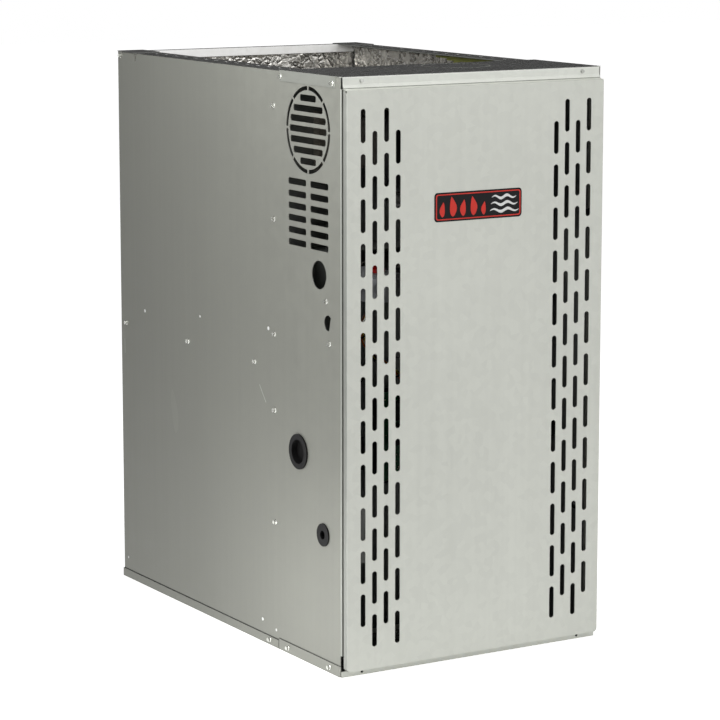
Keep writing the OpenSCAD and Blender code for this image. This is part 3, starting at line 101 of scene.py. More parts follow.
# Planes and places that the pieces are worked out from
LEFT_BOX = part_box("left_side_panel")
FRONT_Y = LEFT_BOX[0].y
HALF_W = -LEFT_BOX[0].x
FLANGE_TOP = LEFT_BOX[1].z
RAIL_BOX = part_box("base_front_rail")
PAN_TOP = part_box("base_pan_rear")[1].z


def srgb(red, green, blue):
    """A colour picked as 0 to 255 on screen, as the linear values that Blender's sockets hold."""
    def linear(value):
        share = value / 255
        return share / 12.92 if share <= 0.04045 else ((share + 0.055) / 1.055) ** 2.4
    return (linear(red), linear(green), linear(blue), 1.0)


def colour_property(name, description, *rgb):
    return FloatVectorProperty(
        name=name, description=description, default=srgb(*rgb), size=4, subtype="COLOR", min=0, max=1
    )


def power_property(name, description, watts):
    return FloatProperty(name=name, description=description, default=watts, unit="POWER", min=0)


def angle_property(name, description, degrees):
    return FloatProperty(name=name, description=description, default=math.radians(degrees), subtype="ANGLE")


def length_property(name, description, default_mm):
    return FloatProperty(
        name=name, description=description, default=default_mm * MM, unit="LENGTH", min=0
    )


# ---------------------------------------------------------------- settings


class FurnaceColours(bpy.types.PropertyGroup):
    """Colours of the finishes."""

    side_sheet: colour_property("Side sheet", "Galvanised sheet of the cabinet", 140, 141, 133)
    door_sheet: colour_property("Door sheet", "Lighter sheet of the door and the header", 200, 202, 194)
    header_sheet: colour_property("Header sheet", "Lighter sheet of the header over the door", 212, 214, 207)
    # Painted shade: the header's laps and the door's side folds are darker than their faces
    lap_shade: colour_property("Lap shade", "Painted shade on the header's sides, which lap the side panels", 144, 146, 139)
    # Painted highlight on the side panels' front bends; the real scratches take a lighter copy of it
    bend_highlight_and_scratch: colour_property("Bend highlight", "Painted highlight on the side panels' front bends, and their scratches", 174, 177, 170)
    fold_shade: colour_property("Fold shade", "Painted shade on the side folds of the door", 148, 150, 144)
    # Painted light: the back panel and its hem are near white, for the light that the hem catches from the
    # front
    back_sheet: colour_property("Back sheet", "Painted light on the back panel and its hem", 246, 246, 242)
    # Painted shade: a dark colour that faces looking up take in place of their sheet's colour
    up_face_shade: colour_property("Up face shade", "Painted shade on the surfaces that face up", 78, 78, 77)
    # Partly painted shade: the sheet inside the cabinet is darker than outside
    inner_sheet: colour_property("Inner sheet", "Galvanised sheet inside the cabinet, darkened by painted shade", 118, 120, 116)
    foil: colour_property("Foil", "Facing of the insulation", 205, 203, 198)
    wool: colour_property("Glass wool", "Glass fibre at the cut edges", 128, 132, 62)
    tube: colour_property("Tube steel", "Aluminised steel of tubes and burners", 150, 146, 138)
    machined: colour_property("Machined steel", "Shafts, springs and clips", 190, 190, 188)
    zinc: colour_property("Zinc plate", "Screws", 226, 227, 222)
    # Painted shade: a darker copy of the zinc plate for the front's screws
    dull_zinc: colour_property("Dull zinc", "Painted shade on the screws of the front", 178, 179, 175)
    # Painted shade: a dark line in the seam over the base's folds and in the joint of its sheets
    painted_seam_shade: colour_property("Painted shade", "Dirt in the seams over the base", 30, 29, 27)
    enamel: colour_property("Enamel", "Black paint on motors and housings", 24, 24, 26)
    casting: colour_property("Casting", "Die-cast valve body", 168, 170, 172)
    brass: colour_property("Brass", "Orifices", 196, 158, 84)
    rubber: colour_property("Rubber", "Plugs, grommets and hose", 22, 22, 22)
    plastic: colour_property("Black plastic", "Trays, switches and connectors", 30, 30, 31)
    ceramic: colour_property("Ceramic", "Insulators", 232, 229, 220)
    red_plastic: colour_property("Red plastic", "Knob and buttons", 196, 26, 20)
    board: colour_property("Board", "Solder mask of the control board", 22, 88, 50)
    wire_black: colour_property("Black wire", "Insulation of a black wire", 18, 18, 19)
    wire_red: colour_property("Red wire", "Insulation of a red wire", 176, 24, 22)
    wire_white: colour_property("White wire", "Insulation of a white wire", 226, 224, 216)
    wire_blue: colour_property("Blue wire", "Insulation of a blue wire", 30, 66, 150)
    wire_yellow: colour_property("Yellow wire", "Insulation of a yellow wire", 214, 180, 36)
    wire_brown: colour_property("Brown wire", "Insulation of a brown wire", 92, 56, 34)
    wire_orange: colour_property("Orange wire", "Insulation of an orange wire", 214, 108, 30)
    badge_black: colour_property("Badge black", "Ground of the badge", 22, 22, 24)
    badge_red: colour_property("Badge red", "Warm accents on the badge", 226, 62, 52)
    badge_white: colour_property("Badge white", "Light accents on the badge", 244, 244, 242)
    floor: colour_property("Floor", "Studio floor", 250, 250, 250)


class FurnaceSizes(bpy.types.PropertyGroup):
    """Sizes of the pieces that are made here."""

    screw_washer: length_property("Washer radius", "Radius of a screw head's washer", 4.4)
    washer_thickness: length_property("Washer thickness", "Thickness of a screw head's washer", 1.0)
    screw_hex: length_property("Hex radius", "Corner radius of a screw's hexagon", 3.5)
    screw_head: length_property("Head height", "Height of a screw's hexagon", 3.2)
    screw_shank: length_property("Shank radius", "Radius of a screw's thread", 2.0)
    side_screws: FloatProperty(name="Side screws", description="Size of the sides' screws", default=0.88)
    front_screws: FloatProperty(name="Front screws", description="Size of the front's screws", default=0.75)
    screw_turns: IntProperty(name="Screw seed", description="Seed of the screws' turns", default=7)
    crinkle_step: length_property("Crinkle step", "Grid step of the foil facing", 3.2)
    crinkle_depth: length_property("Crinkle depth", "Depth of the creases in the foil", 2.6)
    wool_strip: length_property("Wool strip", "Height of the bare fibre along the top edge", 12.0)
    seam_shade_height: length_property("Seam shade", "Height of the painted shade over the base's folds", 1.4)
    joint_shade_width: length_property("Joint shade", "Width of the painted shade in the joint of the base's sheets", 2.2)
    badge_rim: length_property("Badge rim", "Width of the badge's raised rim", 1.6)
    badge_edge: length_property("Badge edge", "Black edge outside the badge's rim", 2.4)
    badge_corner: length_property("Badge corner", "Corner radius of the badge", 5.0)
    badge_relief: length_property("Badge relief", "Height of the shapes on the badge", 0.3)
    badge_flame: length_property("Badge flame", "Height of the tallest flame on the badge", 29.0)
    badge_wave: length_property("Badge wave", "Rise of the waves on the badge", 2.0)
    badge_line: length_property("Badge line", "Width of the waves on the badge", 3.6)
    wire_radius: length_property("Wire radius", "Radius of one insulated wire", 1.2)
    bundle_radius: length_property("Bundle radius", "Outer radius of a bundle of wires", 3.9)
    bundle_twist: length_property("Bundle twist", "Length in which a bundle turns once", 140.0)
    tie_width: length_property("Tie width", "Width of a cable tie", 2.6)
    tie_spacing: length_property("Tie spacing", "Distance between the ties of a bundle", 62.0)
    hose_radius: length_property("Hose radius", "Outer radius of the pressure hose", 4.5)
    clip_margin: length_property("Clip margin", "Distance of a hose clip from the hose's end", 5.0)
    flap_thickness: length_property("Flap thickness", "Thickness of the bent flap", 1.2)
    flap_angle: angle_property("Flap angle", "How far the wire hole's flap is bent in", 52)


class FurnaceStage(bpy.types.PropertyGroup):
    """Camera and lights."""

    eye: FloatVectorProperty(
        name="Eye", description="Place of the camera", default=(-2.2078, -3.6989, 1.1395), unit="LENGTH"
    )
    yaw: angle_property("Yaw", "How far the camera looks to the right", 31.022)
    pitch: angle_property("Pitch", "How far the camera looks down", 8.943)
    lens: FloatProperty(name="Lens", description="Focal length in millimetres", default=139.89)
    rise: FloatProperty(name="Shift", description="Vertical lens shift", default=-0.06)
    key_power: power_property("Key", "Front light", 41.0)
    side_power: power_property("Side", "Tall light on the left", 13.6)
    low_power: power_property("Low", "Small light low on the left", 0.85)
    top_power: power_property("Top", "Light from above", 30.0)
    sky: FloatProperty(name="Sky", description="Strength of the room's even light", default=0.22)


def colours():
    return bpy.context.scene.furnace_colours


def sizes():
    return bpy.context.scene.furnace_sizes


def stage_settings():
    return bpy.context.scene.furnace_stage


# ---------------------------------------------------------------- node trees


class NodeTree:
    """A node tree that is built call by call; most calls return the socket that they make."""

    def __init__(self, tree):
        self.tree = tree
        tree.nodes.clear()

    def feed(self, socket, value):
        """Links a socket to the input, or writes a plain value there."""
        if isinstance(value, bpy.types.NodeSocket):
            self.tree.links.new(value, socket)
        else:
            socket.default_value = value

    def node(self, kind, links=None, **settings):
        """Adds a node; links maps an input's name or number to a socket or a plain value."""
        made = self.tree.nodes.new(kind)
        for key, value in settings.items():
            setattr(made, key, value)
        for key, value in (links or {}).items():
            self.feed(made.inputs[key], value)
        return made

    def out(self, kind, links=None, output=0, **settings):
        """Adds a node, and returns one of its outputs, by name or number."""
        return self.node(kind, links, **settings).outputs[output]

    def calc(self, operation, first, second=0.0):
        return self.out("ShaderNodeMath", {0: first, 1: second}, operation=operation)

    def minus(self, first, second):
        return self.calc("SUBTRACT", first, second)

    def above(self, value, limit):
        return self.calc("GREATER_THAN", value, limit)

    def below(self, value, limit):
        return self.calc("LESS_THAN", value, limit)

    def total(self, first, *others):
        for other in others:
            first = self.calc("ADD", first, other)
        return first

    def product(self, first, *others):
        for other in others:
            first = self.calc("MULTIPLY", first, other)
        return first

    def ramp(self, value, from_low, from_high, to_low, to_high):
        """Maps a value from one range to another, and holds it at the ends."""
        links = {
            "Value": value, "From Min": from_low, "From Max": from_high, "To Min": to_low, "To Max": to_high,
        }
        return self.out("ShaderNodeMapRange", links, "Result")

    def axis(self, vector, letter):
        return self.out("ShaderNodeSeparateXYZ", {0: vector}, letter)

    def seen(self):
        """1 for the rays that see, mirror or refract the studio, and 0 for those that light the object."""
        rays = self.node("ShaderNodeLightPath").outputs
        direct = self.calc("MAXIMUM", rays["Is Camera Ray"], rays["Is Glossy Ray"])
        return self.calc("MAXIMUM", direct, rays["Is Transmission Ray"])


class Finish(NodeTree):
    """A material made of noise, cells and numbers, on the object's own coordinates."""

    def __init__(self, name):
        self.material = bpy.data.materials.new(name)
        self.material.use_nodes = True
        super().__init__(self.material.node_tree)
        self.shader = self.node("ShaderNodeBsdfPrincipled")
        self.output = self.node("ShaderNodeOutputMaterial", {"Surface": self.shader.outputs["BSDF"]})
        self.place = self.out("ShaderNodeTexCoord", output="Object")

    def stretched(self, scale, turn=(0, 0, 0)):
        links = {"Vector": self.place, "Scale": scale, "Rotation": turn}
        return self.out("ShaderNodeMapping", links, "Vector")

    def noise(self, size, detail=2.0, rough=0.5, at=None):
        """Noise whose features are about as large as size, in metres."""
        links = {"Vector": at or self.place, "Scale": 1 / size, "Detail": detail, "Roughness": rough}
        return self.out("ShaderNodeTexNoise", links, "Fac")

    def cells(self, size, output="Color", feature="F1", at=None):
        links = {"Vector": at or self.place, "Scale": 1 / size}
        return self.out("ShaderNodeTexVoronoi", links, output, feature=feature)

    def within(self, value, low, high):
        """1 where the value lies between two numbers, otherwise 0."""
        return self.product(self.above(value, low), self.below(value, high))

    def mix(self, share, first, second):
        """Mixes two colours, through the sockets 6, 7 and 2, since the node has more of the same names."""
        return self.out("ShaderNodeMix", {0: share, 6: first, 7: second}, 2, data_type="RGBA")

    def normal(self):
        return self.out("ShaderNodeNewGeometry", output="Normal")

    def bump(self, height, depth, strength=1.0, over=None):
        """A bump whose height of 1 stands for depth metres."""
        links = {"Strength": strength, "Distance": depth, "Height": height}
        if over is not None:
            links["Normal"] = over
        return self.out("ShaderNodeBump", links, "Normal")

    def set(self, **sockets):
        for key, value in sockets.items():
            self.feed(self.shader.inputs[key.replace("_", " ")], value)


# ---------------------------------------------------------------- materials


def brighter(colour, share):
    """The colour times a share, which darkens it where the share is under 1."""
    return [min(channel * share, 1.0) for channel in colour[:3]] + [1.0]


def shaded(finish, colour, low, high, value):
    """The colour made darker and lighter by a value from 0 to 1."""
    return finish.mix(value, brighter(colour, low), brighter(colour, high))


def on_outside(finish):
    return finish.above(finish.calc("ABSOLUTE", finish.axis(finish.place, "X")), HALF_W - SKIN)


# How much the painted shade covers at the front and at the rear of the cabinet
SEAM_SHADE_SHARES = (0.6, 0.95)


def with_painted_seam_shade(finish, shade):
    """Painted shade along the seam over the base's folds, and in the joint between its front and rear sheets.
    """
    s = sizes()
    joint = RAIL_BOX[1].y
    depth = finish.axis(finish.place, "Y")
    height = finish.axis(finish.place, "Z")
    fold_top = finish.ramp(finish.above(depth, joint), 0, 1, RAIL_BOX[1].z, PAN_TOP)
    seam = finish.within(finish.minus(height, fold_top), 0, s.seam_shade_height)
    gap = finish.within(depth, joint - s.joint_shade_width / 2, joint + s.joint_shade_width / 2)
    gap = finish.product(gap, finish.below(height, RAIL_BOX[1].z))
    amount = finish.ramp(depth, FRONT_Y, -FRONT_Y, *SEAM_SHADE_SHARES)
    found = finish.product(finish.calc("MAXIMUM", seam, gap), on_outside(finish), amount)
    return finish.mix(found, shade, colours().painted_seam_shade)


def with_scratches(finish, shade, colour):
    """Straight bright scratches on the outside of the left panel."""
    outside = finish.below(finish.axis(finish.place, "X"), SKIN - HALF_W)
    for (depth, height), (end_depth, end_height) in SCRATCHES:
        start = Vector((FRONT_Y + depth * MM, height * MM))
        reach = Vector((end_depth - depth, end_height - height)) * MM
        ahead = reach.normalized()
        y = finish.minus(finish.axis(finish.place, "Y"), start.x)
        z = finish.minus(finish.axis(finish.place, "Z"), start.y)
        along = finish.total(finish.product(y, ahead.x), finish.product(z, ahead.y))
        across = finish.total(finish.product(y, ahead.y), finish.product(z, -ahead.x))
        length = finish.within(along, 0, reach.length)
        width = finish.within(across, -SCRATCH_W / 2, SCRATCH_W / 2)
        shade = finish.mix(finish.product(length, width, outside), shade, colour)
    return shade


# A bend's faces, told from the flats on its two sides by how far their normals look sideways
BEND_NORMAL = (0.25, 0.97)

# Over this share of a normal's length along an axis, a face counts as looking that way
FACING = 0.7


def with_painted_bend_highlight(finish, shade, colour):
    """A painted highlight on the bend at a panel's front edge."""
    normal = finish.normal()
    sideways = finish.within(finish.calc("ABSOLUTE", finish.axis(normal, "X")), *BEND_NORMAL)
    forward = finish.below(finish.axis(normal, "Y"), -BEND_NORMAL[0])
    return finish.mix(finish.product(sideways, forward), shade, colour)


# Sheet steel: the sizes of its features and the depths of its bumps, in metres
CRYSTAL, CLOUD, STREAK, SCUFF, GRAIN, BUCKLE = 0.011, 0.28, 0.012, 0.004, 0.0016, 0.09
GRAIN_DEPTH, BUCKLE_DEPTH = 0.03 * MM, 0.6 * MM

# How much the crystals, clouds and streaks count in the tone, and over which level the noise makes a scuff
TONE_SHARES = (0.22, 0.5, 0.28)
SCUFF_LEVEL = 0.76

# The darkest and the lightest tone of a sheet, as shares of its colour: on its face, and in the painted shade
# on its side folds
FACE_TONES, FOLD_TONES = (0.86, 1.13), (0.92, 1.07)
SCUFF_TONE, SCRATCH_TONE = 1.5, 1.2

# How much of its roughness a face that looks up keeps, where it also takes painted shade
UPWARD_ROUGHNESS = 0.6


def sheet_finish(
    name, colour, metallic, roughness, up_shade=None, side_shade=None, highlight_and_scratch_colour=None, worn=0.0,
    inside_shade=False, seam_shaded=False,
):
    """Galvanised sheet: faint crystals, rolling streaks, soft clouds and a few fine scratches; it can also
    take painted shade on faces that look up or sideways, on inner faces and in the seams over the base, and a
    painted highlight on front bends.
    """
    finish = Finish(name)
    crystals = finish.axis(finish.cells(CRYSTAL), "X")
    clouds = finish.noise(CLOUD, 3.0, 0.55)
    streaks = finish.noise(STREAK, 2.0, 0.6, finish.stretched((1.0, 1.0, 0.02)))
    parts = zip((crystals, clouds, streaks), TONE_SHARES)
    tone = finish.total(*(finish.product(part, share) for part, share in parts))
    shade = shaded(finish, colour, *FACE_TONES, tone)
    if worn:
        lines = finish.noise(SCUFF, 1.0, 0.5, finish.stretched((1.0, 0.03, 0.02), (0.5, 0.0, 0.0)))
        scuffs = finish.product(finish.above(lines, SCUFF_LEVEL), worn)
        shade = finish.mix(scuffs, shade, brighter(colour, SCUFF_TONE))
    polish = finish.ramp(finish.total(crystals, clouds), 0.3, 1.6, roughness - 0.05, roughness + 0.07)
    # Painted shade: faces that look sideways take a darker colour
    if side_shade is not None:
        sideways = finish.above(finish.calc("ABSOLUTE", finish.axis(finish.normal(), "X")), FACING)
        shade = finish.mix(sideways, shade, shaded(finish, side_shade, *FOLD_TONES, tone))
    # Painted highlight on the bends at the front edges, then the real scratches
    if highlight_and_scratch_colour is not None:
        shade = with_painted_bend_highlight(finish, shade, highlight_and_scratch_colour)
        shade = with_scratches(finish, shade, brighter(highlight_and_scratch_colour, SCRATCH_TONE))
    # Painted shade in the seam over the base's folds and in the joint of its sheets
    if seam_shaded:
        shade = with_painted_seam_shade(finish, shade)
    # Painted shade: the inner faces of a panel take the darker inner colour
    if inside_shade:
        behind = finish.above(finish.axis(finish.place, "Y"), FRONT_Y + SKIN)
        inside = finish.product(finish.minus(1.0, on_outside(finish)), behind)
        shade = finish.mix(inside, shade, colours().inner_sheet)
    # Painted shade: faces that look up take a dark colour
    if up_shade is not None:
        upward = finish.above(finish.axis(finish.normal(), "Z"), FACING)
        shade = finish.mix(upward, shade, up_shade)
        polish = finish.product(polish, finish.ramp(upward, 0, 1, 1.0, UPWARD_ROUGHNESS))
    grain = finish.noise(GRAIN, 2.0, 0.6, finish.stretched((1.0, 1.0, 0.12)))
    buckles = finish.noise(BUCKLE, 1.0)
    finish.set(
        Base_Color=shade,
        Metallic=metallic,
        Roughness=polish,
        Normal=finish.bump(grain, GRAIN_DEPTH, 0.35, finish.bump(buckles, BUCKLE_DEPTH, 0.5)),
    )
    return finish.material


def plain_finish(name, colour, metallic, roughness, speck=1.2 * MM, depth=0.04 * MM, coat=0.0, gloss=0.5):
    """Moulded, cast or painted: soft clouds of tone, and a fine grain."""
    finish = Finish(name)
    clouds = finish.noise(30 * MM, 3.0, 0.6)
    grain = finish.noise(speck, 3.0, 0.6)
    finish.set(
        Base_Color=shaded(finish, colour, 0.82, 1.16, clouds),
        Metallic=metallic,
        Roughness=finish.ramp(clouds, 0.25, 0.75, roughness - 0.06, roughness + 0.08),
        Normal=finish.bump(grain, depth, 0.6),
        Coat_Weight=coat,
        Specular_IOR_Level=gloss,
    )
    return finish.material


def turned_finish(name, colour, roughness):
    """Turned metal: fine rings along the object's length."""
    finish = Finish(name)
    rings = finish.noise(0.6 * MM, 1.0, 0.5, finish.stretched((1.0, 1.0, 0.1)))
    clouds = finish.noise(20 * MM, 2.0)
    finish.set(
        Base_Color=shaded(finish, colour, 0.85, 1.12, clouds),
        Metallic=0.9,
        Roughness=finish.ramp(clouds, 0.3, 0.7, roughness - 0.06, roughness + 0.08),
        Normal=finish.bump(rings, 0.02 * MM, 0.4),
    )
    return finish.material


def tube_finish(name, colour):
    """Aluminised steel with heat tints and a mottled skin."""
    finish = Finish(name)
    clouds = finish.noise(50 * MM, 4.0, 0.6)
    speckle = finish.cells(4 * MM, "Distance")
    tone = finish.total(finish.product(clouds, 0.75), finish.product(speckle, 0.35))
    finish.set(
        Base_Color=shaded(finish, colour, 0.72, 1.2, tone),
        Metallic=0.75,
        Roughness=finish.ramp(clouds, 0.3, 0.7, 0.36, 0.52),
        Normal=finish.bump(speckle, 0.12 * MM, 0.5),
    )
    return finish.material


def foil_finish(name, colour):
    """Crinkled aluminium foil over glass fibre: flat facets between creases, bright and dark in turn."""
    finish = Finish(name)
    facet = 9 * MM
    creases = finish.cells(facet, "Distance", "DISTANCE_TO_EDGE")
    facets = finish.axis(finish.cells(facet), "X")
    clouds = finish.noise(30 * MM, 3.0, 0.6)
    fine = finish.noise(3.5 * MM, 2.0, 0.6)
    # Partly painted reflection: the facets' colour swings from dark to bright, on top of what the foil really
    # mirrors
    tone = finish.total(finish.product(facets, 0.55), finish.product(clouds, 0.6))
    finish.set(
        Base_Color=shaded(finish, colour, 0.32, 1.2, tone),
        Metallic=0.95,
        Roughness=finish.ramp(facets, 0.0, 1.0, 0.14, 0.4),
        Normal=finish.bump(fine, 0.6 * MM, 0.6, finish.bump(creases, 2.2 * MM, 0.8)),
    )
    return finish.material


def wool_finish(name, colour):
    """Glass fibre seen at a cut edge."""
    finish = Finish(name)
    fibres = finish.noise(1.4 * MM, 4.0, 0.7, finish.stretched((0.4, 0.4, 1.0)))
    clouds = finish.noise(12 * MM, 3.0, 0.6)
    finish.set(
        Base_Color=shaded(finish, colour, 0.45, 1.5, fibres),
        Roughness=0.95,
        Sheen_Weight=0.25,
        Normal=finish.bump(finish.total(fibres, clouds), 1.2 * MM, 0.9),
    )
    return finish.material


# The control board: how much of a cell its tracks and its pads take, and the colour of tinned copper
TRACK_SHARE, PAD_SHARE = 0.06, 0.16
PAD_COLOUR = srgb(196, 190, 160)


def board_finish(name, colour):
    """Solder mask over copper tracks, with pads; what stands up from the board is black plastic."""
    finish = Finish(name)
    tracks = finish.cells(6 * MM, "Distance", "DISTANCE_TO_EDGE", finish.stretched((1.0, 1.0, 0.7)))
    line = finish.below(tracks, TRACK_SHARE)
    pads = finish.below(finish.cells(5.5 * MM, "Distance"), PAD_SHARE)
    shade = finish.mix(pads, shaded(finish, colour, 1.0, 1.7, line), PAD_COLOUR)
    raised = finish.below(finish.axis(finish.place, "Y"), FRONT_Y + BOARD_DEPTH * MM - SKIN)
    finish.set(
        Base_Color=finish.mix(raised, shade, colours().plastic),
        Roughness=0.35,
        Normal=finish.bump(line, 0.04 * MM, 0.6),
    )
    return finish.material


MATERIALS = {}
WIRE_FINISHES = tuple(
    "wire_" + colour for colour in ("black", "red", "white", "blue", "yellow", "brown", "orange")
)
FINE_GRAIN = 0.01 * MM


def make_materials():
    c = colours()
    MATERIALS.update(
        side=sheet_finish(
            "side_sheet", c.side_sheet, 0.3, 0.45, c.up_face_shade, None, c.bend_highlight_and_scratch, worn=0.12, inside_shade=True,
            seam_shaded=True,
        ),
        # Painted shade: the rail, the door and the header take a darker colour on the faces that look
        # sideways
        rail=sheet_finish("rail_sheet", c.door_sheet, 0.3, 0.42, c.up_face_shade, c.side_sheet, seam_shaded=True),
        door=sheet_finish("door_sheet", c.door_sheet, 0.3, 0.42, side_shade=c.fold_shade),
        # Painted light: the back panel is near white
        back=sheet_finish("back_sheet", c.back_sheet, 0.1, 0.42, c.up_face_shade),
        header=sheet_finish("header_sheet", c.header_sheet, 0.3, 0.42, c.up_face_shade, c.lap_shade),
        # Painted shade: the rear corner gussets take the up faces' dark colour all over
        cover=sheet_finish("cover_sheet", c.up_face_shade, 0.3, 0.3),
        # Partly painted shade: the parts inside the cabinet take the darker inner colour
        inner=sheet_finish("inner_sheet", c.inner_sheet, 0.6, 0.42),
        foil=foil_finish("foil_facing", c.foil),
        wool=wool_finish("glass_wool", c.wool),
        tube=tube_finish("aluminised_tube", c.tube),
        machined=turned_finish("machined_steel", c.machined, 0.25),
        zinc=plain_finish("zinc_plate", c.zinc, 0.95, 0.2),
        # Painted shade: a darker copy of the zinc plate for the front's screws
        dull_zinc=plain_finish("dull_zinc_plate", c.dull_zinc, 0.9, 0.35),
        enamel=plain_finish("black_enamel", c.enamel, 0.0, 0.34, 2 * MM, 0.06 * MM, 0.3),
        casting=plain_finish("die_casting", c.casting, 0.8, 0.5, 0.9 * MM, 0.12 * MM),
        brass=turned_finish("turned_brass", c.brass, 0.25),
        rubber=plain_finish("black_rubber", c.rubber, 0.0, 0.5, gloss=0.15),
        plastic=plain_finish("black_plastic", c.plastic, 0.0, 0.42, gloss=0.3),
        ceramic=plain_finish("white_ceramic", c.ceramic, 0.0, 0.6),
        red=plain_finish("red_plastic", c.red_plastic, 0.0, 0.35),
        board=board_finish("control_board_mask", c.board),
        **{
            name: plain_finish(name, getattr(c, name), 0.0, 0.4, 0.6 * MM, FINE_GRAIN)
            for name in WIRE_FINISHES
        },
        badge_black=plain_finish("badge_black", c.badge_black, 0.0, 0.45, 3 * MM, FINE_GRAIN, gloss=0.12),
        badge_red=plain_finish("badge_red", c.badge_red, 0.0, 0.3, 3 * MM, FINE_GRAIN, gloss=0.2),
        badge_white=plain_finish("badge_white", c.badge_white, 0.0, 0.3, 3 * MM, FINE_GRAIN),
    )


# Which finish each CAD node takes; what isn't named here is made again further down
NODE_FINISHES = {
    "side": ("left_side_panel", "right_side_panel", "base_pan_rear"),
    "rail": ("base_front_rail",),
    "back": ("back_panel",),
    "door": ("door_panel",),
    "header": ("top_front_cover",),
    "cover": ("rear_corner_gussets",),
    "inner": (
        "vestibule_panel", "blower_deck", "blower_access_panel", "burner_box", "blower_housing",
        "blower_wheel", "junction_box", "motor_bracket", "tube_support",
    ),
    "tube": (
        "heat_tube_1", "heat_tube_2", "heat_tube_3", "heat_tube_4", "collector_box", "burner_1", "burner_2",
        "burner_3", "burner_4",
    ),
    "enamel": ("inducer_housing", "inducer_motor", "blower_motor", "gas_manifold", "transformer"),
    "machined": ("inducer_shaft", "blower_shaft", "limit_switch", "run_capacitor"),
    "plastic": (
        "inducer_cooling_fan", "rollout_switches", "pressure_switch", "control_tray", "door_switch_body",
    ),
    "rubber": ("large_hole_plugs", "cable_grommets"),
    "ceramic": ("igniter", "flame_sensor", "door_switch_plunger"),
    "brass": ("burner_orifices",),
    "red": ("gas_valve_knob", "rollout_reset_left", "rollout_reset_right", "fault_button"),
    "casting": ("gas_valve_body",),
    "board": ("control_board",),
}


# ---------------------------------------------------------------- meshes

# How many sides each round shape has
SIDES = {
    "screw": 18, "wire": 10, "tie": 20, "hose": 20, "clip": 24, "clip_wire": 8, "wheel": 72, "set_screw": 12,
    "can": 24, "resistor": 12, "dimple": 20,
}

# How far the edges of each block are rounded off
BEVELS = {
    name: size * MM for name, size in dict(
        lock=0.3, tail=0.1, plug=0.6, rib=0.15, ear=0.2, pin=0.1, case=1.0, chip=0.3, socket=0.8, badge=0.3,
    ).items()
}
BEVEL_STEPS = 2

# Steps of a curve between two points of its route
WIRE_STEPS, HOSE_STEPS = 6, 8


def rounded_off(work, edges, bevel):
    bmesh.ops.bevel(work, geom=edges, offset=bevel, segments=BEVEL_STEPS, affect="EDGES", profile=0.5)


def placed(name, data):
    """A new object in the scene."""
    made = bpy.data.objects.new(name, data)
    bpy.context.scene.collection.objects.link(made)
    return made


def new_piece(name, mesh, body, slot, *materials):
    """Puts a finished mesh on an object at the origin, with its materials and body; the slot is not used."""
    piece = placed(name, mesh)
    mesh.name = name
    for key in materials:
        mesh.materials.append(MATERIALS[key])
    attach(piece, body)
    return piece


def mesh_from(work, smooth=False):
    """The mesh of a bmesh, with its faces turned outwards."""
    bmesh.ops.recalc_face_normals(work, faces=work.faces)
    mesh = bpy.data.meshes.new("piece")
    for face in work.faces:
        face.smooth = smooth
    work.to_mesh(mesh)
    work.free()
    return mesh


class GeoTree(NodeTree):
    """A Geometry Nodes tree that is built call by call, and then run on a mesh."""

    def __init__(self, name):
        super().__init__(bpy.data.node_groups.new(name, "GeometryNodeTree"))
        self.values = {}
        for in_out in ("INPUT", "OUTPUT"):
            self.tree.interface.new_socket("Geometry", in_out=in_out, socket_type="NodeSocketGeometry")
        self.group_input = self.node("NodeGroupInput")
        self.source = self.group_input.outputs[0]

    def entry(self, name, value):
        """A named input of the tree; its value is set by identifier when the tree is run."""
        kind = {float: "Float", int: "Int"}.get(type(value), "Object")
        item = self.tree.interface.new_socket(name, in_out="INPUT", socket_type=f"NodeSocket{kind}")
        self.values[item.identifier] = value
        return self.group_input.outputs[name]

    def vector(self, operation, first, second, output=0):
        return self.out("ShaderNodeVectorMath", {0: first, 1: second}, output, operation=operation)

    def scaled(self, vector, amount):
        return self.out("ShaderNodeVectorMath", {0: vector, 3: amount}, operation="SCALE")

    def turn_about(self, letter, angle):
        euler = self.out("ShaderNodeCombineXYZ", {letter: angle})
        return self.out("FunctionNodeEulerToRotation", {0: euler})

    def real(self, geometry):
        return self.out("GeometryNodeRealizeInstances", {0: geometry})

    def paint(self, geometry, key, selection=None):
        links = {"Geometry": geometry, "Material": MATERIALS[key]}
        if selection is not None:
            links["Selection"] = selection
        return self.out("GeometryNodeSetMaterial", links)

    def join(self, parts):
        made = self.node("GeometryNodeJoinGeometry")
        for part in parts:
            self.feed(made.inputs[0], part)
        return made.outputs[0]

    def tube(self, curve, radius, sides):
        ring = self.out("GeometryNodeCurvePrimitiveCircle", {"Radius": radius, "Resolution": sides})
        links = {"Curve": curve, "Profile Curve": ring, "Fill Caps": True}
        return self.out("GeometryNodeCurveToMesh", links)

    def copies(self, points, shape, rotation, scale=(1, 1, 1)):
        """One real copy of another object's mesh on each point."""
        source = self.out("GeometryNodeObjectInfo", {"Object": shape}, "Geometry")
        links = {"Points": points, "Instance": source, "Rotation": rotation, "Scale": scale}
        return self.out("GeometryNodeInstanceOnPoints", links)

    def finish(self, geometry, material=(), mesh=None):
        """Ends the tree in real, painted geometry, and returns it as a plain mesh."""
        solid = self.real(geometry)
        for selection, key in material:
            solid = self.paint(solid, key, selection)
        self.node("NodeGroupOutput", {0: solid})
        holder = placed("holder", mesh or bpy.data.meshes.new("holder"))
        modifier = holder.modifiers.new("tree", "NODES")
        modifier.node_group = self.tree
        for identifier, value in self.values.items():
            modifier[identifier] = value
        graph = bpy.context.evaluated_depsgraph_get()
        graph.update()
        made = bpy.data.meshes.new_from_object(holder.evaluated_get(graph), depsgraph=graph)
        holder.modifiers.remove(modifier)
        bpy.data.objects.remove(holder)
        if not made.polygons:
            raise RuntimeError(f"{self.tree.name} made nothing")
        return made


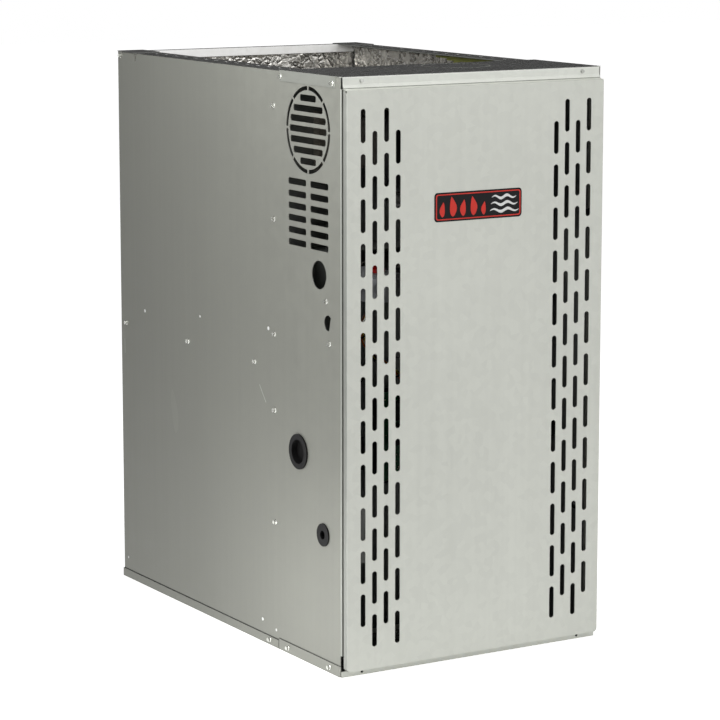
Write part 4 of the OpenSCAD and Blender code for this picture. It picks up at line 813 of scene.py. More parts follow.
def points_mesh(name, points, edges=()):
    mesh = bpy.data.meshes.new(name)
    mesh.from_pydata(points, edges, [])
    return mesh


def line_mesh(name, points):
    return points_mesh(name, points, [(k, k + 1) for k in range(len(points) - 1)])


SIZE_SEED = 4


def scatter(name, places, shape, key, slot, smallest=1.0, largest=1.0):
    """One piece made of a small mesh on each place, all of them the same size or between two sizes."""
    single = bpy.data.objects.new(name, shape)
    tree = GeoTree(name)
    source = tree.entry("Shape", single)
    range_of = {
        "Min": tree.entry("Smallest", smallest), "Max": tree.entry("Largest", largest),
        "Seed": tree.entry("Size seed", SIZE_SEED),
    }
    size = tree.out("FunctionNodeRandomValue", range_of, "Value", data_type="FLOAT")
    copies = tree.copies(tree.source, source, (0, 0, 0), size)
    made = tree.finish(copies, [(None, key)], points_mesh(name, places))
    bpy.data.objects.remove(single)
    return new_piece(name, made, "cabinet", slot)


def join_pieces(name, meshes, slot):
    """One piece from several finished meshes, which keep their own materials."""
    work = bmesh.new()
    finishes = []
    for mesh in meshes:
        finishes += [material for material in mesh.materials if material not in finishes]
        first = len(work.faces)
        work.from_mesh(mesh)
        work.faces.ensure_lookup_table()
        for face in work.faces[first:]:
            face.material_index = finishes.index(mesh.materials[face.material_index])
    joined = bpy.data.meshes.new(name)
    work.to_mesh(joined)
    work.free()
    for material in finishes:
        joined.materials.append(material)
    return new_piece(name, joined, "cabinet", slot)


def bridge(work, loops, finish=0):
    """Joins each loop of corners to the next by faces with one finish; a loop of one corner ends in a fan."""
    for first, second in zip(loops, loops[1:]):
        for k in range(max(len(first), len(second))):
            corners = [first[k % len(first)], first[(k + 1) % len(first)],
                       second[(k + 1) % len(second)], second[k % len(second)]]
            unique = list(dict.fromkeys(corners))
            if len(unique) > 2:
                work.faces.new(unique).material_index = finish


def lathe(work, profile, sides, origin=Vector(), axis=Vector((0, 0, 1))):
    """Turns [(radius, height), ...] round the axis; a radius of 0 closes to a point."""
    turn = axis.to_track_quat("Z", "Y").to_matrix()
    rings = []
    for radius, height in profile:
        angles = [math.tau * k / sides for k in range(sides)] if radius else [0]
        rings.append([
            work.verts.new(origin + turn @ Vector((radius * math.cos(a), radius * math.sin(a), height)))
            for a in angles
        ])
    bridge(work, rings)
    return rings


# Corners nearer than this are one corner
WELD = 0.001 * MM


def closed_lathe(work, profile, sides, *place):
    """A ring whose profile ends where it starts; its last loop is welded to its first."""
    rings = lathe(work, profile, sides, *place)
    bmesh.ops.remove_doubles(work, verts=[v for ring in rings for v in ring], dist=WELD)


def prism(work, outline, low, high, place=None, finish=0):
    """A closed solid between two heights over a flat outline; place turns a local point into the frame.

    Returns the face at its upper height.
    """
    put = place or Vector
    floor, roof = ([work.verts.new(put((x, y, z))) for x, y in outline] for z in (low, high))
    ends = [work.faces.new(corners) for corners in (floor[::-1], roof)]
    for end in ends:
        end.material_index = finish
    bridge(work, [floor, roof], finish)
    return ends[1]


def block(work, low, high, bevel=0.0):
    """A box between two corners, with its edges rounded off."""
    matrix = Matrix.LocRotScale((low + high) / 2, None, high - low)
    made = bmesh.ops.create_cube(work, size=1.0, matrix=matrix)
    if bevel:
        rounded_off(work, list({edge for vert in made["verts"] for edge in vert.link_edges}), bevel)


def from_front(points):
    """Places given as across, depth behind the front plane and height, all in millimetres."""
    return [Vector((x * MM, FRONT_Y + depth * MM, z * MM)) for x, depth, z in points]


def smooth_line(points, steps):
    """A Catmull-Rom curve through the points."""
    line = []
    for i in range(len(points) - 1):
        before, start = points[max(i - 1, 0)], points[i]
        end, after = points[i + 1], points[min(i + 2, len(points) - 1)]
        for step in range(steps):
            t = step / steps
            line.append(0.5 * (
                2 * start + (end - before) * t + (2 * before - 5 * start + 4 * end - after) * t ** 2
                + (3 * start - 3 * end + after - before) * t ** 3
            ))
    return line + [points[-1]]


# ---------------------------------------------------------------- pieces


# Corners of a CAD node's loose triangles that lie nearer than this are the same corner
LOOSE = 0.005 * MM


def solids_of(node):
    """The corner points of each separate solid in a CAD node, whose faces are loose triangles."""
    work = bmesh.new()
    work.from_mesh(NODES[node].data)
    bmesh.ops.remove_doubles(work, verts=work.verts, dist=LOOSE)
    seen, found = set(), []
    for start in work.verts:
        if start in seen:
            continue
        stack, points = [start], []
        seen.add(start)
        while stack:
            vert = stack.pop()
            points.append(vert.co.copy())
            for edge in vert.link_edges:
                other = edge.other_vert(vert)
                if other not in seen:
                    seen.add(other)
                    stack.append(other)
        found.append(points)
    work.free()
    return found


def span(points):
    low = Vector(min(p[i] for p in points) for i in range(3))
    high = Vector(max(p[i] for p in points) for i in range(3))
    return low, high


def screw_places():
    """Seat and outward direction of each screw, read off the CAD screws."""
    s = sizes()
    head = s.screw_head + s.washer_thickness
    middle = (CAD_BOX[0] + CAD_BOX[1]) / 2
    places = []
    for points in solids_of("casing_screws"):
        low, high = span(points)
        axis = max((0, 1), key=lambda i: abs(high[i] - low[i] - 2 * s.screw_washer))
        outward = 1 if (low[axis] + high[axis]) / 2 > middle[axis] else -1
        seat = (low + high) / 2
        seat[axis] = (high[axis] if outward > 0 else low[axis]) - outward * head
        direction = Vector((0, 0, 0))
        direction[axis] = outward
        places.append((seat, direction))
    return places


# A screw: the pitch and turns of its thread, where the thread starts and its tip ends, and its drive slot
THREAD_PITCH, THREAD_TURNS = 1.1 * MM, 4
THREAD_START, TIP_LENGTH = -5.2 * MM, 1.2 * MM
SLOT_HALF, SLOT_DEPTH = 0.55 * MM, 1.3 * MM

# Shares of the shank's radius at the tip and in the thread's root, and of the washer's height at its rim and
# where the two halves of the head start
TIP_SHARE, ROOT_SHARE = 0.7, 0.8
WASHER_RIM, HEAD_START = 0.45, 0.9


def screw_head_mesh():
    """One hex washer head screw along +Z, seated at the origin, with a drive slot and a thread."""
    s = sizes()
    work = bmesh.new()
    thread = []
    pitch, start = THREAD_PITCH, THREAD_START
    for k in range(THREAD_TURNS):
        root = s.screw_shank * ROOT_SHARE
        thread += [(s.screw_shank, start + k * pitch), (root, start + (k + 0.5) * pitch)]
    lathe(work, [
        (0, start - TIP_LENGTH), (s.screw_shank * TIP_SHARE, start - pitch), *thread, (s.screw_shank, 0),
        (s.screw_washer, 0), (s.screw_washer, s.washer_thickness * WASHER_RIM),
        (s.screw_hex, s.washer_thickness), (0, s.washer_thickness),
    ], SIDES["screw"])
    foot = s.washer_thickness * HEAD_START
    top = s.washer_thickness + s.screw_head
    half, floor = SLOT_HALF, top - SLOT_DEPTH
    flat = s.screw_hex * math.sin(math.pi / 3)
    for side in (-1, 1):
        outline = [(side * half, -flat), (side * s.screw_hex / 2, -flat), (side * s.screw_hex, 0),
                   (side * s.screw_hex / 2, flat), (side * half, flat)]
        prism(work, outline, foot, top)
    prism(work, [(-half, -flat), (half, -flat), (half, flat), (-half, flat)], foot, floor)
    return mesh_from(work)


class FURNACE_OT_finishes(bpy.types.Operator):
    """Gives every CAD node that stays its procedural finish"""

    bl_idname = "furnace.finishes"
    bl_label = "Finishes"

    def execute(self, context):
        make_materials()
        for key, nodes in NODE_FINISHES.items():
            for node in nodes:
                mesh = NODES[node].data
                mesh.materials.clear()
                mesh.materials.append(MATERIALS[key])
        return {"FINISHED"}


class FURNACE_OT_screws(bpy.types.Operator):
    """Sets a slotted hex washer head screw on every screw's seat"""

    bl_idname = "furnace.screws"
    bl_label = "Casing screws"

    def execute(self, context):
        places = screw_places()
        points = points_mesh("screw_points", [seat for seat, _ in places])
        outward = points.attributes.new("outward", "FLOAT_VECTOR", "POINT")
        for item, (_, direction) in zip(outward.data, places):
            item.vector = direction
        head = bpy.data.objects.new("screw_head", screw_head_mesh())
        tree = GeoTree("screws_on_seats")
        seed = tree.entry("Turn seed", sizes().screw_turns)
        side_size = tree.entry("Size at the sides", sizes().side_screws)
        front_size = tree.entry("Size at the front", sizes().front_screws)
        shape = tree.entry("Screw", head)
        links = {"Name": "outward"}
        direction = tree.out("GeometryNodeInputNamedAttribute", links, data_type="FLOAT_VECTOR")
        facing = tree.out("FunctionNodeAlignRotationToVector", {"Vector": direction}, axis="Z")
        turns = {"Min": 0.0, "Max": math.tau, "Seed": seed}
        angle = tree.out("FunctionNodeRandomValue", turns, "Value", data_type="FLOAT")
        links = {"Rotation": facing, "Rotate By": tree.turn_about("Z", angle)}
        turned = tree.out("FunctionNodeRotateRotation", links, rotation_space="LOCAL")
        front = tree.below(tree.axis(direction, "Y"), -FACING)
        size = tree.ramp(front, 0.0, 1.0, side_size, front_size)
        screws = tree.copies(tree.source, shape, turned, size)
        # Painted shade: the front's screws take the darker copy of the zinc plate
        heads = tree.finish(screws, [(None, "zinc"), (front, "dull_zinc")], points)
        piece = new_piece("hex_screws", heads, "cabinet", "zinc_screw")
        bpy.data.objects.remove(head)
        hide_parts("casing_screws")
        return {"FINISHED"}


# The blankets: the CAD node of each, the way its foil looks, and the seed of its creases
BLANKETS = (
    ("left_insulation", (1, 0, 0), 3),
    ("right_insulation", (-1, 0, 0), 5),
    ("rear_insulation", (0, -1, 0), 8),
)

# The creases of the foil: the size of a facet in metres and how much it counts, and the finer noise over them
CREASES = ((0.055, 0.55), (0.017, 0.6))
CREASE_NOISE_SCALE = 26.0
CREASE_GAIN, CREASE_LOSS = 0.8, 1.0

# Between which depths the bare fibre of a side blanket thins out, at its rear end and at its front end
WOOL_REAR_END = (FRONT_Y + 340 * MM, FRONT_Y + 450 * MM)
WOOL_FRONT_END = (FRONT_Y + 160 * MM, FRONT_Y + 330 * MM)
WOOL_FRONT_SHARE = 0.25
WOOL_RAGGED = 0.02
WOOL_OVER = 0.5 * MM


class FURNACE_OT_insulation(bpy.types.Operator):
    """Lays crinkled foil-faced blankets round the heating section"""

    bl_idname = "furnace.insulation"
    bl_label = "Insulation"

    def execute(self, context):
        for node, inner, seed in BLANKETS:
            low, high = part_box(node)
            bare = sizes().wool_strip if inner[0] else 0.0
            mesh = self.blanket(low, high, inner, seed, bare)
            piece = new_piece("foil_" + node, mesh, "cabinet", "foil_blanket")
            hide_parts(node)
        return {"FINISHED"}

    def blanket(self, low, high, inner, seed, bare_height):
        """A box of small faces, creased on its inner side, with fibre bare along part of its top."""
        s = sizes()
        tree = GeoTree("creased_blanket")
        depth = tree.entry("Crease depth", s.crinkle_depth)
        strip = tree.entry("Bare strip", bare_height)
        start = tree.entry("Seed", float(seed))
        extent = high - low
        counts = {
            f"Vertices {letter}": max(2, round(length / s.crinkle_step) + 1)
            for letter, length in zip("XYZ", extent)
        }
        body = tree.out("GeometryNodeMeshCube", {"Size": extent, **counts}, "Mesh")
        links = {"Geometry": body, "Translation": (low + high) / 2}
        moved = tree.out("GeometryNodeTransform", links)
        place = tree.out("GeometryNodeInputPosition")
        spot = {"Vector": place, "W": start}
        creases = []
        for size, weight in CREASES:
            links = {**spot, "Scale": 1 / size}
            folds = tree.out(
                "ShaderNodeTexVoronoi", links, "Distance", feature="DISTANCE_TO_EDGE", voronoi_dimensions="4D"
            )
            creases.append(tree.product(folds, weight))
        links = {**spot, "Scale": CREASE_NOISE_SCALE, "Detail": 3.0}
        soft = tree.out("ShaderNodeTexNoise", links, "Fac", noise_dimensions="4D")
        height = tree.minus(tree.product(tree.total(*creases, soft), CREASE_GAIN), CREASE_LOSS)
        looks_in = tree.vector("DOT_PRODUCT", tree.out("GeometryNodeInputNormal"), inner, "Value")
        amount = tree.product(height, depth, tree.calc("MAXIMUM", looks_in, 0.0))
        links = {"Geometry": moved, "Offset": tree.scaled(inner, amount)}
        creased = tree.out("GeometryNodeSetPosition", links)
        rear_end = tree.ramp(tree.axis(place, "Y"), *WOOL_REAR_END, 1.0, 0.0)
        front_end = tree.ramp(tree.axis(place, "Y"), *WOOL_FRONT_END, WOOL_FRONT_SHARE, 1.0)
        ragged = tree.product(tree.minus(soft, 0.5), WOOL_RAGGED)
        reach = tree.product(tree.total(strip, ragged), tree.product(rear_end, front_end))
        edge = tree.minus(high.z + WOOL_OVER, reach)
        bare = tree.above(tree.axis(place, "Z"), edge)
        return tree.finish(creased, [(None, "foil"), (bare, "wool")])


# Routes of the wires and the hose, as across, depth behind the front plane and height in millimetres
MOTOR_WIRES = (
    (60, 174, 366), (62, 160, 380), (84, 138, 410), (134, 112, 450), (176, 98, 520), (184, 92, 600),
    (180, 84, 672), (152, 72, 716), (104, 60, 742), (62, 54, 754), (40, 52, 756),
)
VALVE_WIRES = (
    (-6, 174, 366), (-10, 160, 380), (-50, 136, 412), (-108, 106, 450), (-140, 82, 484), (-142, 68, 508),
    (-134, 60, 526), (-128, 60, 537),
)
BUNDLES = (
    ("motor_wires", MOTOR_WIRES, ("wire_black", "wire_red", "wire_white", "wire_blue", "wire_yellow")),
    ("valve_wires", VALVE_WIRES, ("wire_yellow", "wire_brown", "wire_white", "wire_orange")),
)
HOSE_LINE = (
    (170, 176, 688), (170, 176, 700), (178, 176, 720), (184, 176, 742), (176, 176, 760), (160, 176, 766),
    (150, 176, 766),
)


# The wires' plugs in millimetres: their middles as across, depth and height, and half their sizes
WIRE_PLUGS = (((60, 174, 365), (12, 4.5, 4)), ((-6, 174, 365), (9, 4.5, 4)), ((-128, 60, 535), (8, 5, 4)))
RIB_HALF, RIB_STANDS, RIB_SINKS, RIB_SHARE = 0.5 * MM, 0.5 * MM, 0.2 * MM, 0.8

# A cable tie: the thickness of its band, half the size of its lock and the share of it that stands out, and
# its cut tail between two corners
TIE_BAND = (0.05 * MM, 0.9 * MM)
TIE_LOCK = Vector((1.9, 2.2, 2.3)) * MM
LOCK_OUT = 0.4
TIE_TAIL = (Vector((-0.5, 1.8, -1.1)) * MM, Vector((0.5, 5.4, 1.1)) * MM)


class FURNACE_OT_wiring(bpy.types.Operator):
    """Runs bundles of single wires, with their ties and plugs, from the control board"""

    bl_idname = "furnace.wiring"
    bl_label = "Wiring"

    def execute(self, context):
        wires = join_pieces("single_wires", [self.bundle(*bundle) for bundle in BUNDLES], "wire_sleeve")
        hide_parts("wire_harness")
        new_piece("wire_plugs", self.plugs(), "cabinet", "white_ceramic", "ceramic")
        return {"FINISHED"}

    def bundle(self, name, route, finishes):
        """Wires twisted round one curve, and ties round them at even steps."""
        s = sizes()
        path = smooth_line(from_front(route), WIRE_STEPS)
        tie = bpy.data.objects.new("tie", self.tie_mesh())
        tree = GeoTree(name)
        wire_radius = tree.entry("Wire radius", s.wire_radius)
        lay = tree.entry("Lay radius", s.bundle_radius - s.wire_radius)
        twist = tree.entry("Twist", math.tau / s.bundle_twist)
        spacing = tree.entry("Tie spacing", s.tie_spacing)
        shape = tree.entry("Tie", tie)
        curve = tree.out("GeometryNodeMeshToCurve", {"Mesh": tree.source})
        normal = tree.out("GeometryNodeInputNormal")
        tangent = tree.out("GeometryNodeInputTangent")
        across = tree.vector("CROSS_PRODUCT", tangent, normal)
        along = tree.out("GeometryNodeSplineParameter", output="Length")
        turn = tree.product(along, twist)
        parts = []
        for k, finish in enumerate(finishes):
            angle = tree.total(turn, math.tau * k / len(finishes))
            first = tree.scaled(normal, tree.calc("COSINE", angle))
            second = tree.scaled(across, tree.calc("SINE", angle))
            shift = tree.scaled(tree.vector("ADD", first, second), lay)
            strand = tree.out("GeometryNodeSetPosition", {"Geometry": curve, "Offset": shift})
            parts.append(tree.paint(tree.tube(strand, wire_radius, SIDES["wire"]), finish))
        points = tree.node("GeometryNodeCurveToPoints", {"Curve": curve, "Length": spacing}, mode="LENGTH")
        index = tree.out("GeometryNodeInputIndex")
        links = {"Geometry": points.outputs[0], "Selection": tree.above(index, 0.5)}
        kept = tree.out("GeometryNodeSeparateGeometry", links)
        ties = tree.copies(kept, shape, points.outputs["Rotation"])
        parts.append(tree.paint(tree.real(ties), "plastic"))
        made = tree.finish(tree.join(parts), (), line_mesh(name, path))
        bpy.data.objects.remove(tie)
        return made

    def tie_mesh(self):
        """A cable tie round a bundle along Z: a band, its lock and its cut tail."""
        s = sizes()
        inner, outer = (s.bundle_radius + value for value in TIE_BAND)
        half = s.tie_width / 2
        work = bmesh.new()
        band = [(inner, -half), (outer, -half), (outer, half), (inner, half), (inner, -half)]
        closed_lathe(work, band, SIDES["tie"])
        middle = Vector((outer + TIE_LOCK.x * LOCK_OUT, 0, 0))
        block(work, middle - TIE_LOCK, middle + TIE_LOCK, BEVELS["lock"])
        block(work, middle + TIE_TAIL[0], middle + TIE_TAIL[1], BEVELS["tail"])
        return mesh_from(work)

    def plugs(self):
        """Nylon housings that the wires enter, with ribs along their sides."""
        work = bmesh.new()
        for place, half in WIRE_PLUGS:
            middle = from_front([place])[0]
            size = Vector(half) * MM
            block(work, middle - size, middle + size, BEVELS["plug"])
            front, tall = middle.y - size.y, size.z * RIB_SHARE
            ribs = int(half[0] / 2)
            for k in range(ribs):
                at = middle.x + (2 * k - ribs + 1) * 2 * MM
                low = Vector((at - RIB_HALF, front - RIB_STANDS, middle.z - tall))
                high = Vector((at + RIB_HALF, front + RIB_SINKS, middle.z + tall))
                block(work, low, high, BEVELS["rib"])
        return mesh_from(work)


# The hose's spring clips: the wire's radius and how much of it lies on the hose, half the distance of its two
# turns, half the size of an ear, and how far the ears spread
CLIP_WIRE = 0.5 * MM
CLIP_SEAT = 0.7
CLIP_HALF = 1.2 * MM
CLIP_EAR = Vector((2.2, 0.5, 0.5)) * MM
EAR_SPREAD = 1.4
CLIP_STEP = 0.5 * MM


class FURNACE_OT_hose(bpy.types.Operator):
    """Lays the rubber hose from the collector to the pressure switch, with a spring clip at each end"""

    bl_idname = "furnace.hose"
    bl_label = "Pressure hose"

    def execute(self, context):
        s = sizes()
        clip = bpy.data.objects.new("clip", self.clip_mesh())
        tree = GeoTree("hose")
        radius = tree.entry("Radius", s.hose_radius)
        margin = tree.entry("Clip margin", s.clip_margin)
        shape = tree.entry("Clip", clip)
        curve = tree.out("GeometryNodeMeshToCurve", {"Mesh": tree.source})
        parts = [tree.paint(tree.tube(curve, radius, SIDES["hose"]), "rubber")]
        whole = tree.out("GeometryNodeCurveLength", {"Curve": curve})
        for start in (margin, tree.minus(whole, margin)):
            links = {"Curve": curve, 4: start, 5: tree.total(start, CLIP_STEP)}
            links = {"Curve": tree.out("GeometryNodeTrimCurve", links, mode="LENGTH"), "Count": 1}
            point = tree.node("GeometryNodeCurveToPoints", links, mode="COUNT")
            held = tree.copies(point.outputs[0], shape, point.outputs["Rotation"])
            parts.append(tree.paint(tree.real(held), "machined"))
        line = line_mesh("hose", smooth_line(from_front(HOSE_LINE), HOSE_STEPS))
        made = tree.finish(tree.join(parts), (), line)
        bpy.data.objects.remove(clip)
        for face in made.polygons:
            face.use_smooth = True
        piece = new_piece("hose", made, "cabinet", "black_rubber")
        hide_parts("pressure_hose")
        return {"FINISHED"}

    def clip_mesh(self):
        """Two turns of spring wire with their squeezed ears, round a hose along Z."""
        radius = sizes().hose_radius
        ring = radius + CLIP_WIRE * CLIP_SEAT
        work = bmesh.new()
        for z in (-CLIP_HALF, CLIP_HALF):
            angles = [math.tau * k / SIDES["clip_wire"] for k in range(SIDES["clip_wire"] + 1)]
            profile = [(ring + CLIP_WIRE * math.cos(a), z + CLIP_WIRE * math.sin(a)) for a in angles]
            closed_lathe(work, profile, SIDES["clip"])
            ear = Vector((radius + CLIP_EAR.x, z * EAR_SPREAD, z))
            block(work, ear - CLIP_EAR, ear + CLIP_EAR, BEVELS["ear"])
        return mesh_from(work)


# The inducer wheel in millimetres: its rim keeps clear of the housing's roof, and each blade bends forward
WHEEL_R = 57.5
WHEEL_EYE_R = 44
WHEEL_HUB = (10, 16)
WHEEL_SHAFT_R = 4.05
WHEEL_PLATE = 1.5
WHEEL_BLADES = 24
BLADE_FROM, BLADE_TO = 39, 57
BLADE_T = 1.2
BLADE_BEND, BLADE_POWER = 0.2, 1.6
BLADE_STEPS = 8

# The set screw in millimetres: its radius, how far it stands out, and its place along the hub; and the
# shares of the first two that its sunk socket takes
SET_SCREW = (2.2, 1.6, 11)
SET_SCREW_SOCKET = (0.5, 0.6)


class FURNACE_OT_inducer_wheel(bpy.types.Operator):
    """Makes the inducer wheel: a hub with its set screw, two plates, and curved blades between them"""

    bl_idname = "furnace.inducer_wheel"
    bl_label = "Inducer wheel"

    def execute(self, context):
        low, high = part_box("inducer_wheel")
        depth = high.y - low.y
        middle = Vector(((low.x + high.x) / 2, low.y, (low.z + high.z) / 2))
        single = bpy.data.objects.new("blade", self.blade_mesh(depth))
        tree = GeoTree("wheel_blades")
        count = tree.entry("Blades", WHEEL_BLADES)
        shape = tree.entry("Blade", single)
        points = tree.out("GeometryNodePoints", {"Count": count, "Position": middle})
        index = tree.out("GeometryNodeInputIndex")
        angle = tree.product(tree.calc("DIVIDE", index, count), math.tau)
        blades = tree.finish(tree.copies(points, shape, tree.turn_about("Y", angle)), [(None, "machined")])
        bpy.data.objects.remove(single)
        new_piece("inducer_blades", blades, "inducer_rotor", "machine_steel")
        plates = self.plates(middle, depth)
        plates = new_piece("inducer_plates", plates, "inducer_rotor", "machine_steel", "machined")
        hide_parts("inducer_wheel")
        return {"FINISHED"}

    def blade_mesh(self, depth):
        """One blade at the middle of the wheel, bent forward from its root to its tip."""
        line = []
        for k in range(BLADE_STEPS + 1):
            share = k / BLADE_STEPS
            radius, angle = BLADE_FROM + (BLADE_TO - BLADE_FROM) * share, BLADE_BEND * share ** BLADE_POWER
            line.append(Vector((radius * math.cos(angle), radius * math.sin(angle))))
        upper, lower = [], []
        for k, point in enumerate(line):
            ahead = (line[min(k + 1, BLADE_STEPS)] - line[max(k - 1, 0)]).normalized()
            side = Vector((-ahead.y, ahead.x)) * BLADE_T / 2
            upper.append((point + side) * MM)
            lower.append((point - side) * MM)
        sunk = WHEEL_PLATE * MM / 2
        work = bmesh.new()
        prism(work, lower + upper[::-1], sunk, depth - sunk, lambda at: Vector((at[0], at[2], at[1])))
        return mesh_from(work)

    def plates(self, middle, depth):
        """The rear plate with its hub, the front ring, and the set screw in the hub."""
        work = bmesh.new()
        rim, plate, shaft = WHEEL_R * MM, WHEEL_PLATE * MM, WHEEL_SHAFT_R * MM
        hub_r, hub_len = (value * MM for value in WHEEL_HUB)
        eye = WHEEL_EYE_R * MM
        for profile in (
            [
                (shaft, 0), (rim, 0), (rim, plate), (hub_r, plate), (hub_r, hub_len), (shaft, hub_len),
                (shaft, 0),
            ],
            [(eye, depth - plate), (rim, depth - plate), (rim, depth), (eye, depth), (eye, depth - plate)],
        ):
            closed_lathe(work, profile, SIDES["wheel"], middle, Vector((0, 1, 0)))
        radius, stands, along = (value * MM for value in SET_SCREW)
        foot = middle + Vector((hub_r - MM, along, 0))
        socket, floor = (size * share for size, share in zip((radius, stands), SET_SCREW_SOCKET))
        screw = [(0, 0), (radius, 0), (radius, stands), (socket, stands), (0, floor)]
        lathe(work, screw, SIDES["set_screw"], foot, Vector((1, 0, 0)))
        return mesh_from(work)


# The badge's row of flames: the height of each against the tallest, and the way it leans
BADGE_FLAMES = ((0.74, -1), (1.0, 1), (0.82, -1), (0.96, 1), (0.66, -1))

# Places on the badge, as shares of half its width or height: the flames across, and the waves of warm air
FLAME_START, FLAME_PITCH = 0.82, 0.235
WAVE_LENGTHS = (0.66, 0.61, 0.56)
WAVE_AT, WAVE_PITCH = 0.53, 0.46

# A flame's sway, half its width and how much its belly swells, as shares of its height
FLAME_SWAY, FLAME_HALF, FLAME_SWELL = 0.07, 0.36, 0.35

# How many half turns a flame sways, and how fast its tip thins out
SWAY_TURNS, TIP_POWER = 1.5, 0.8

# A wave's number of turns, its shift along the row as a share of its length, and the width left at its ends
WAVE_TURNS, WAVE_SHIFT, WAVE_END = 2, 0.1, 0.25

# How much the corners of the badge's rim shrink with the rim's distance from the edge, outside and inside
RIM_CORNER, RIM_INNER_CORNER = 0.6, 0.5


class FURNACE_OT_badge(bpy.types.Operator):
    """Sets the badge on the door: a black plate with a red rim, red flames and white waves of warm air"""

    bl_idname = "furnace.badge"
    bl_label = "Badge"

    def execute(self, context):
        s = sizes()
        low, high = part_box("door_badge")
        middle = (low + high) / 2
        half = (high - low) / 2
        back, ground, front = high.y, low.y + s.badge_relief, low.y
        face = Matrix.Translation(Vector((middle.x, 0, middle.z)))

        def on_door(point):
            return face @ Vector((point[0], point[2], point[1]))

        work = bmesh.new()
        outline = rounded(half.x, half.z, s.badge_corner)
        self.plate(work, outline, back, ground, BEVELS["badge"], on_door, 0)
        rim = half.x - s.badge_edge, half.z - s.badge_edge, s.badge_corner - s.badge_edge * RIM_CORNER
        self.ring(work, rim, s.badge_rim, ground, front, on_door, 1)
        tall = s.badge_flame
        for k, (share, lean) in enumerate(BADGE_FLAMES):
            across = half.x * (FLAME_PITCH * k - FLAME_START)
            outline = flame(tall * share, lean, across, -tall / 2)
            self.plate(work, outline, ground, front, 0.0, on_door, 1)
        for k, length in enumerate(WAVE_LENGTHS):
            outline = wave(half.x * length, half.x * WAVE_AT, (k - 1) * half.z * WAVE_PITCH, s)
            self.plate(work, outline, ground, front, 0.0, on_door, 2)
        mesh = mesh_from(work)
        piece = new_piece("badge", mesh, "door", "badge_plate", "badge_black", "badge_red", "badge_white")
        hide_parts("door_badge")
        return {"FINISHED"}

    def plate(self, work, outline, back, front, bevel, place, finish):
        top = prism(work, outline, back, front, place, finish)
        if bevel:
            rounded_off(work, list(top.edges), bevel)

    def ring(self, work, size, width, back, front, place, finish):
        half_x, half_y, corner = size
        outer = rounded(*size)
        inner = rounded(half_x - width, half_y - width, corner - width * RIM_INNER_CORNER)
        loops = [
            [work.verts.new(place((x, y, depth))) for x, y in outline]
            for outline, depth in ((outer, back), (outer, front), (inner, front), (inner, back))
        ]
        bridge(work, loops + loops[:1], finish)


def rounded(half_x, half_y, corner, steps=6):
    """The outline of a rounded rectangle."""
    outline = []
    for x, y, turn in ((1, 1, 0), (-1, 1, 1), (-1, -1, 2), (1, -1, 3)):
        for k in range(steps + 1):
            angle = (turn + k / steps) * math.pi / 2
            across = x * (half_x - corner) + corner * math.cos(angle)
            outline.append((across, y * (half_y - corner) + corner * math.sin(angle)))
    return outline


def flame(height, lean, x, y, steps=16):
    """A flame that swells from a round foot, sways and ends in a tip."""
    def middle(t):
        return x + lean * height * FLAME_SWAY * math.sin(math.pi * SWAY_TURNS * t) * t

    def half(t):
        swell = 1 + FLAME_SWELL * math.sin(math.pi * t)
        return height * FLAME_HALF * math.sqrt(t) * (1 - t) ** TIP_POWER * swell

    shares = [k / steps for k in range(1, steps)]
    right = [(middle(t) + half(t), y + height * t) for t in shares]
    left = [(middle(t) - half(t), y + height * t) for t in reversed(shares)]
    return [(x, y), *right, (middle(1), y + height), *left]


def wave(length, start, y, s, steps=28):
    """A ribbon that follows a sine and thins out towards its ends."""
    upper, lower = [], []
    for k in range(steps + 1):
        t = k / steps
        x = start + length * (t - 0.5) + length * WAVE_SHIFT
        rise = s.badge_wave * math.sin(math.tau * WAVE_TURNS * t)
        half = s.badge_line * (WAVE_END + math.sin(math.pi * t))
        upper.append((x, y + rise + half / 2))
        lower.append((x, y + rise - half / 2))
    return lower + upper[::-1]


# The control board in millimetres: depth of its face and pins, and its pin rows as start, height and count
BOARD_DEPTH = 180
PIN_DEPTH = 176
PIN_PITCH = 2.1
PIN_SIZE = (0.32, -1.5, 3.0)
PIN_ROWS = ((-13, 365, 12), (47, 365, 12), (26, 287, 14))

# What stands on the board in millimetres: places as across and height, sizes as across, forward and up
RELAY_SIZE = (22, 16, 28)
DARK_CASES = (
    (-30, 330, RELAY_SIZE), (-2, 330, RELAY_SIZE), (-30, 292, RELAY_SIZE), (20, 240, (64, 10, 11)),
    (70, 300, (28, 12, 6)),
)
PLUG_SIZE = (28, 9, 12)
PLUG_CASES = ((-14, 350, PLUG_SIZE), (46, 350, PLUG_SIZE))
CASE_SKIN = 0.3 * MM
CAPACITORS = ((36, 336, 4.5, 13), (48, 334, 4.0, 11), (60, 326, 3.2, 9))
CHIP_AT = (30, 312)
CHIP_SIZE = (22, 3.4, 7)
CHIP_LEGS = 8
LEG_START = 1.4
LEG_PITCH = 2.54
LEG_SIZE = (0.8, 1.8, 1.2)
RESISTORS = 6
RESISTOR_AT = (20, 303)
RESISTOR_PITCH = 6
RESISTOR_R = 1.2 * MM
RESISTOR_HALF = 6 * MM

# Half a resistor from the end of its lead, as shares of its radius and of half its length
RESISTOR_PROFILE = ((0.3, 1.0), (0.3, 0.5), (1.0, 0.45), (0.85, 0.25))

# A can: its crimped groove as shares of its radius and height, the share of its radius that its rim and its
# shoulder take, and how far its lid lies in from the rim and under it
CAN_GROOVE = ((1.0, 0.12), (0.93, 0.17), (1.0, 0.22))
CAN_RIM, CAN_SHOULDER = 0.85, 0.15
LID_INSET, LID_SINK = 0.2 * MM, 0.3 * MM


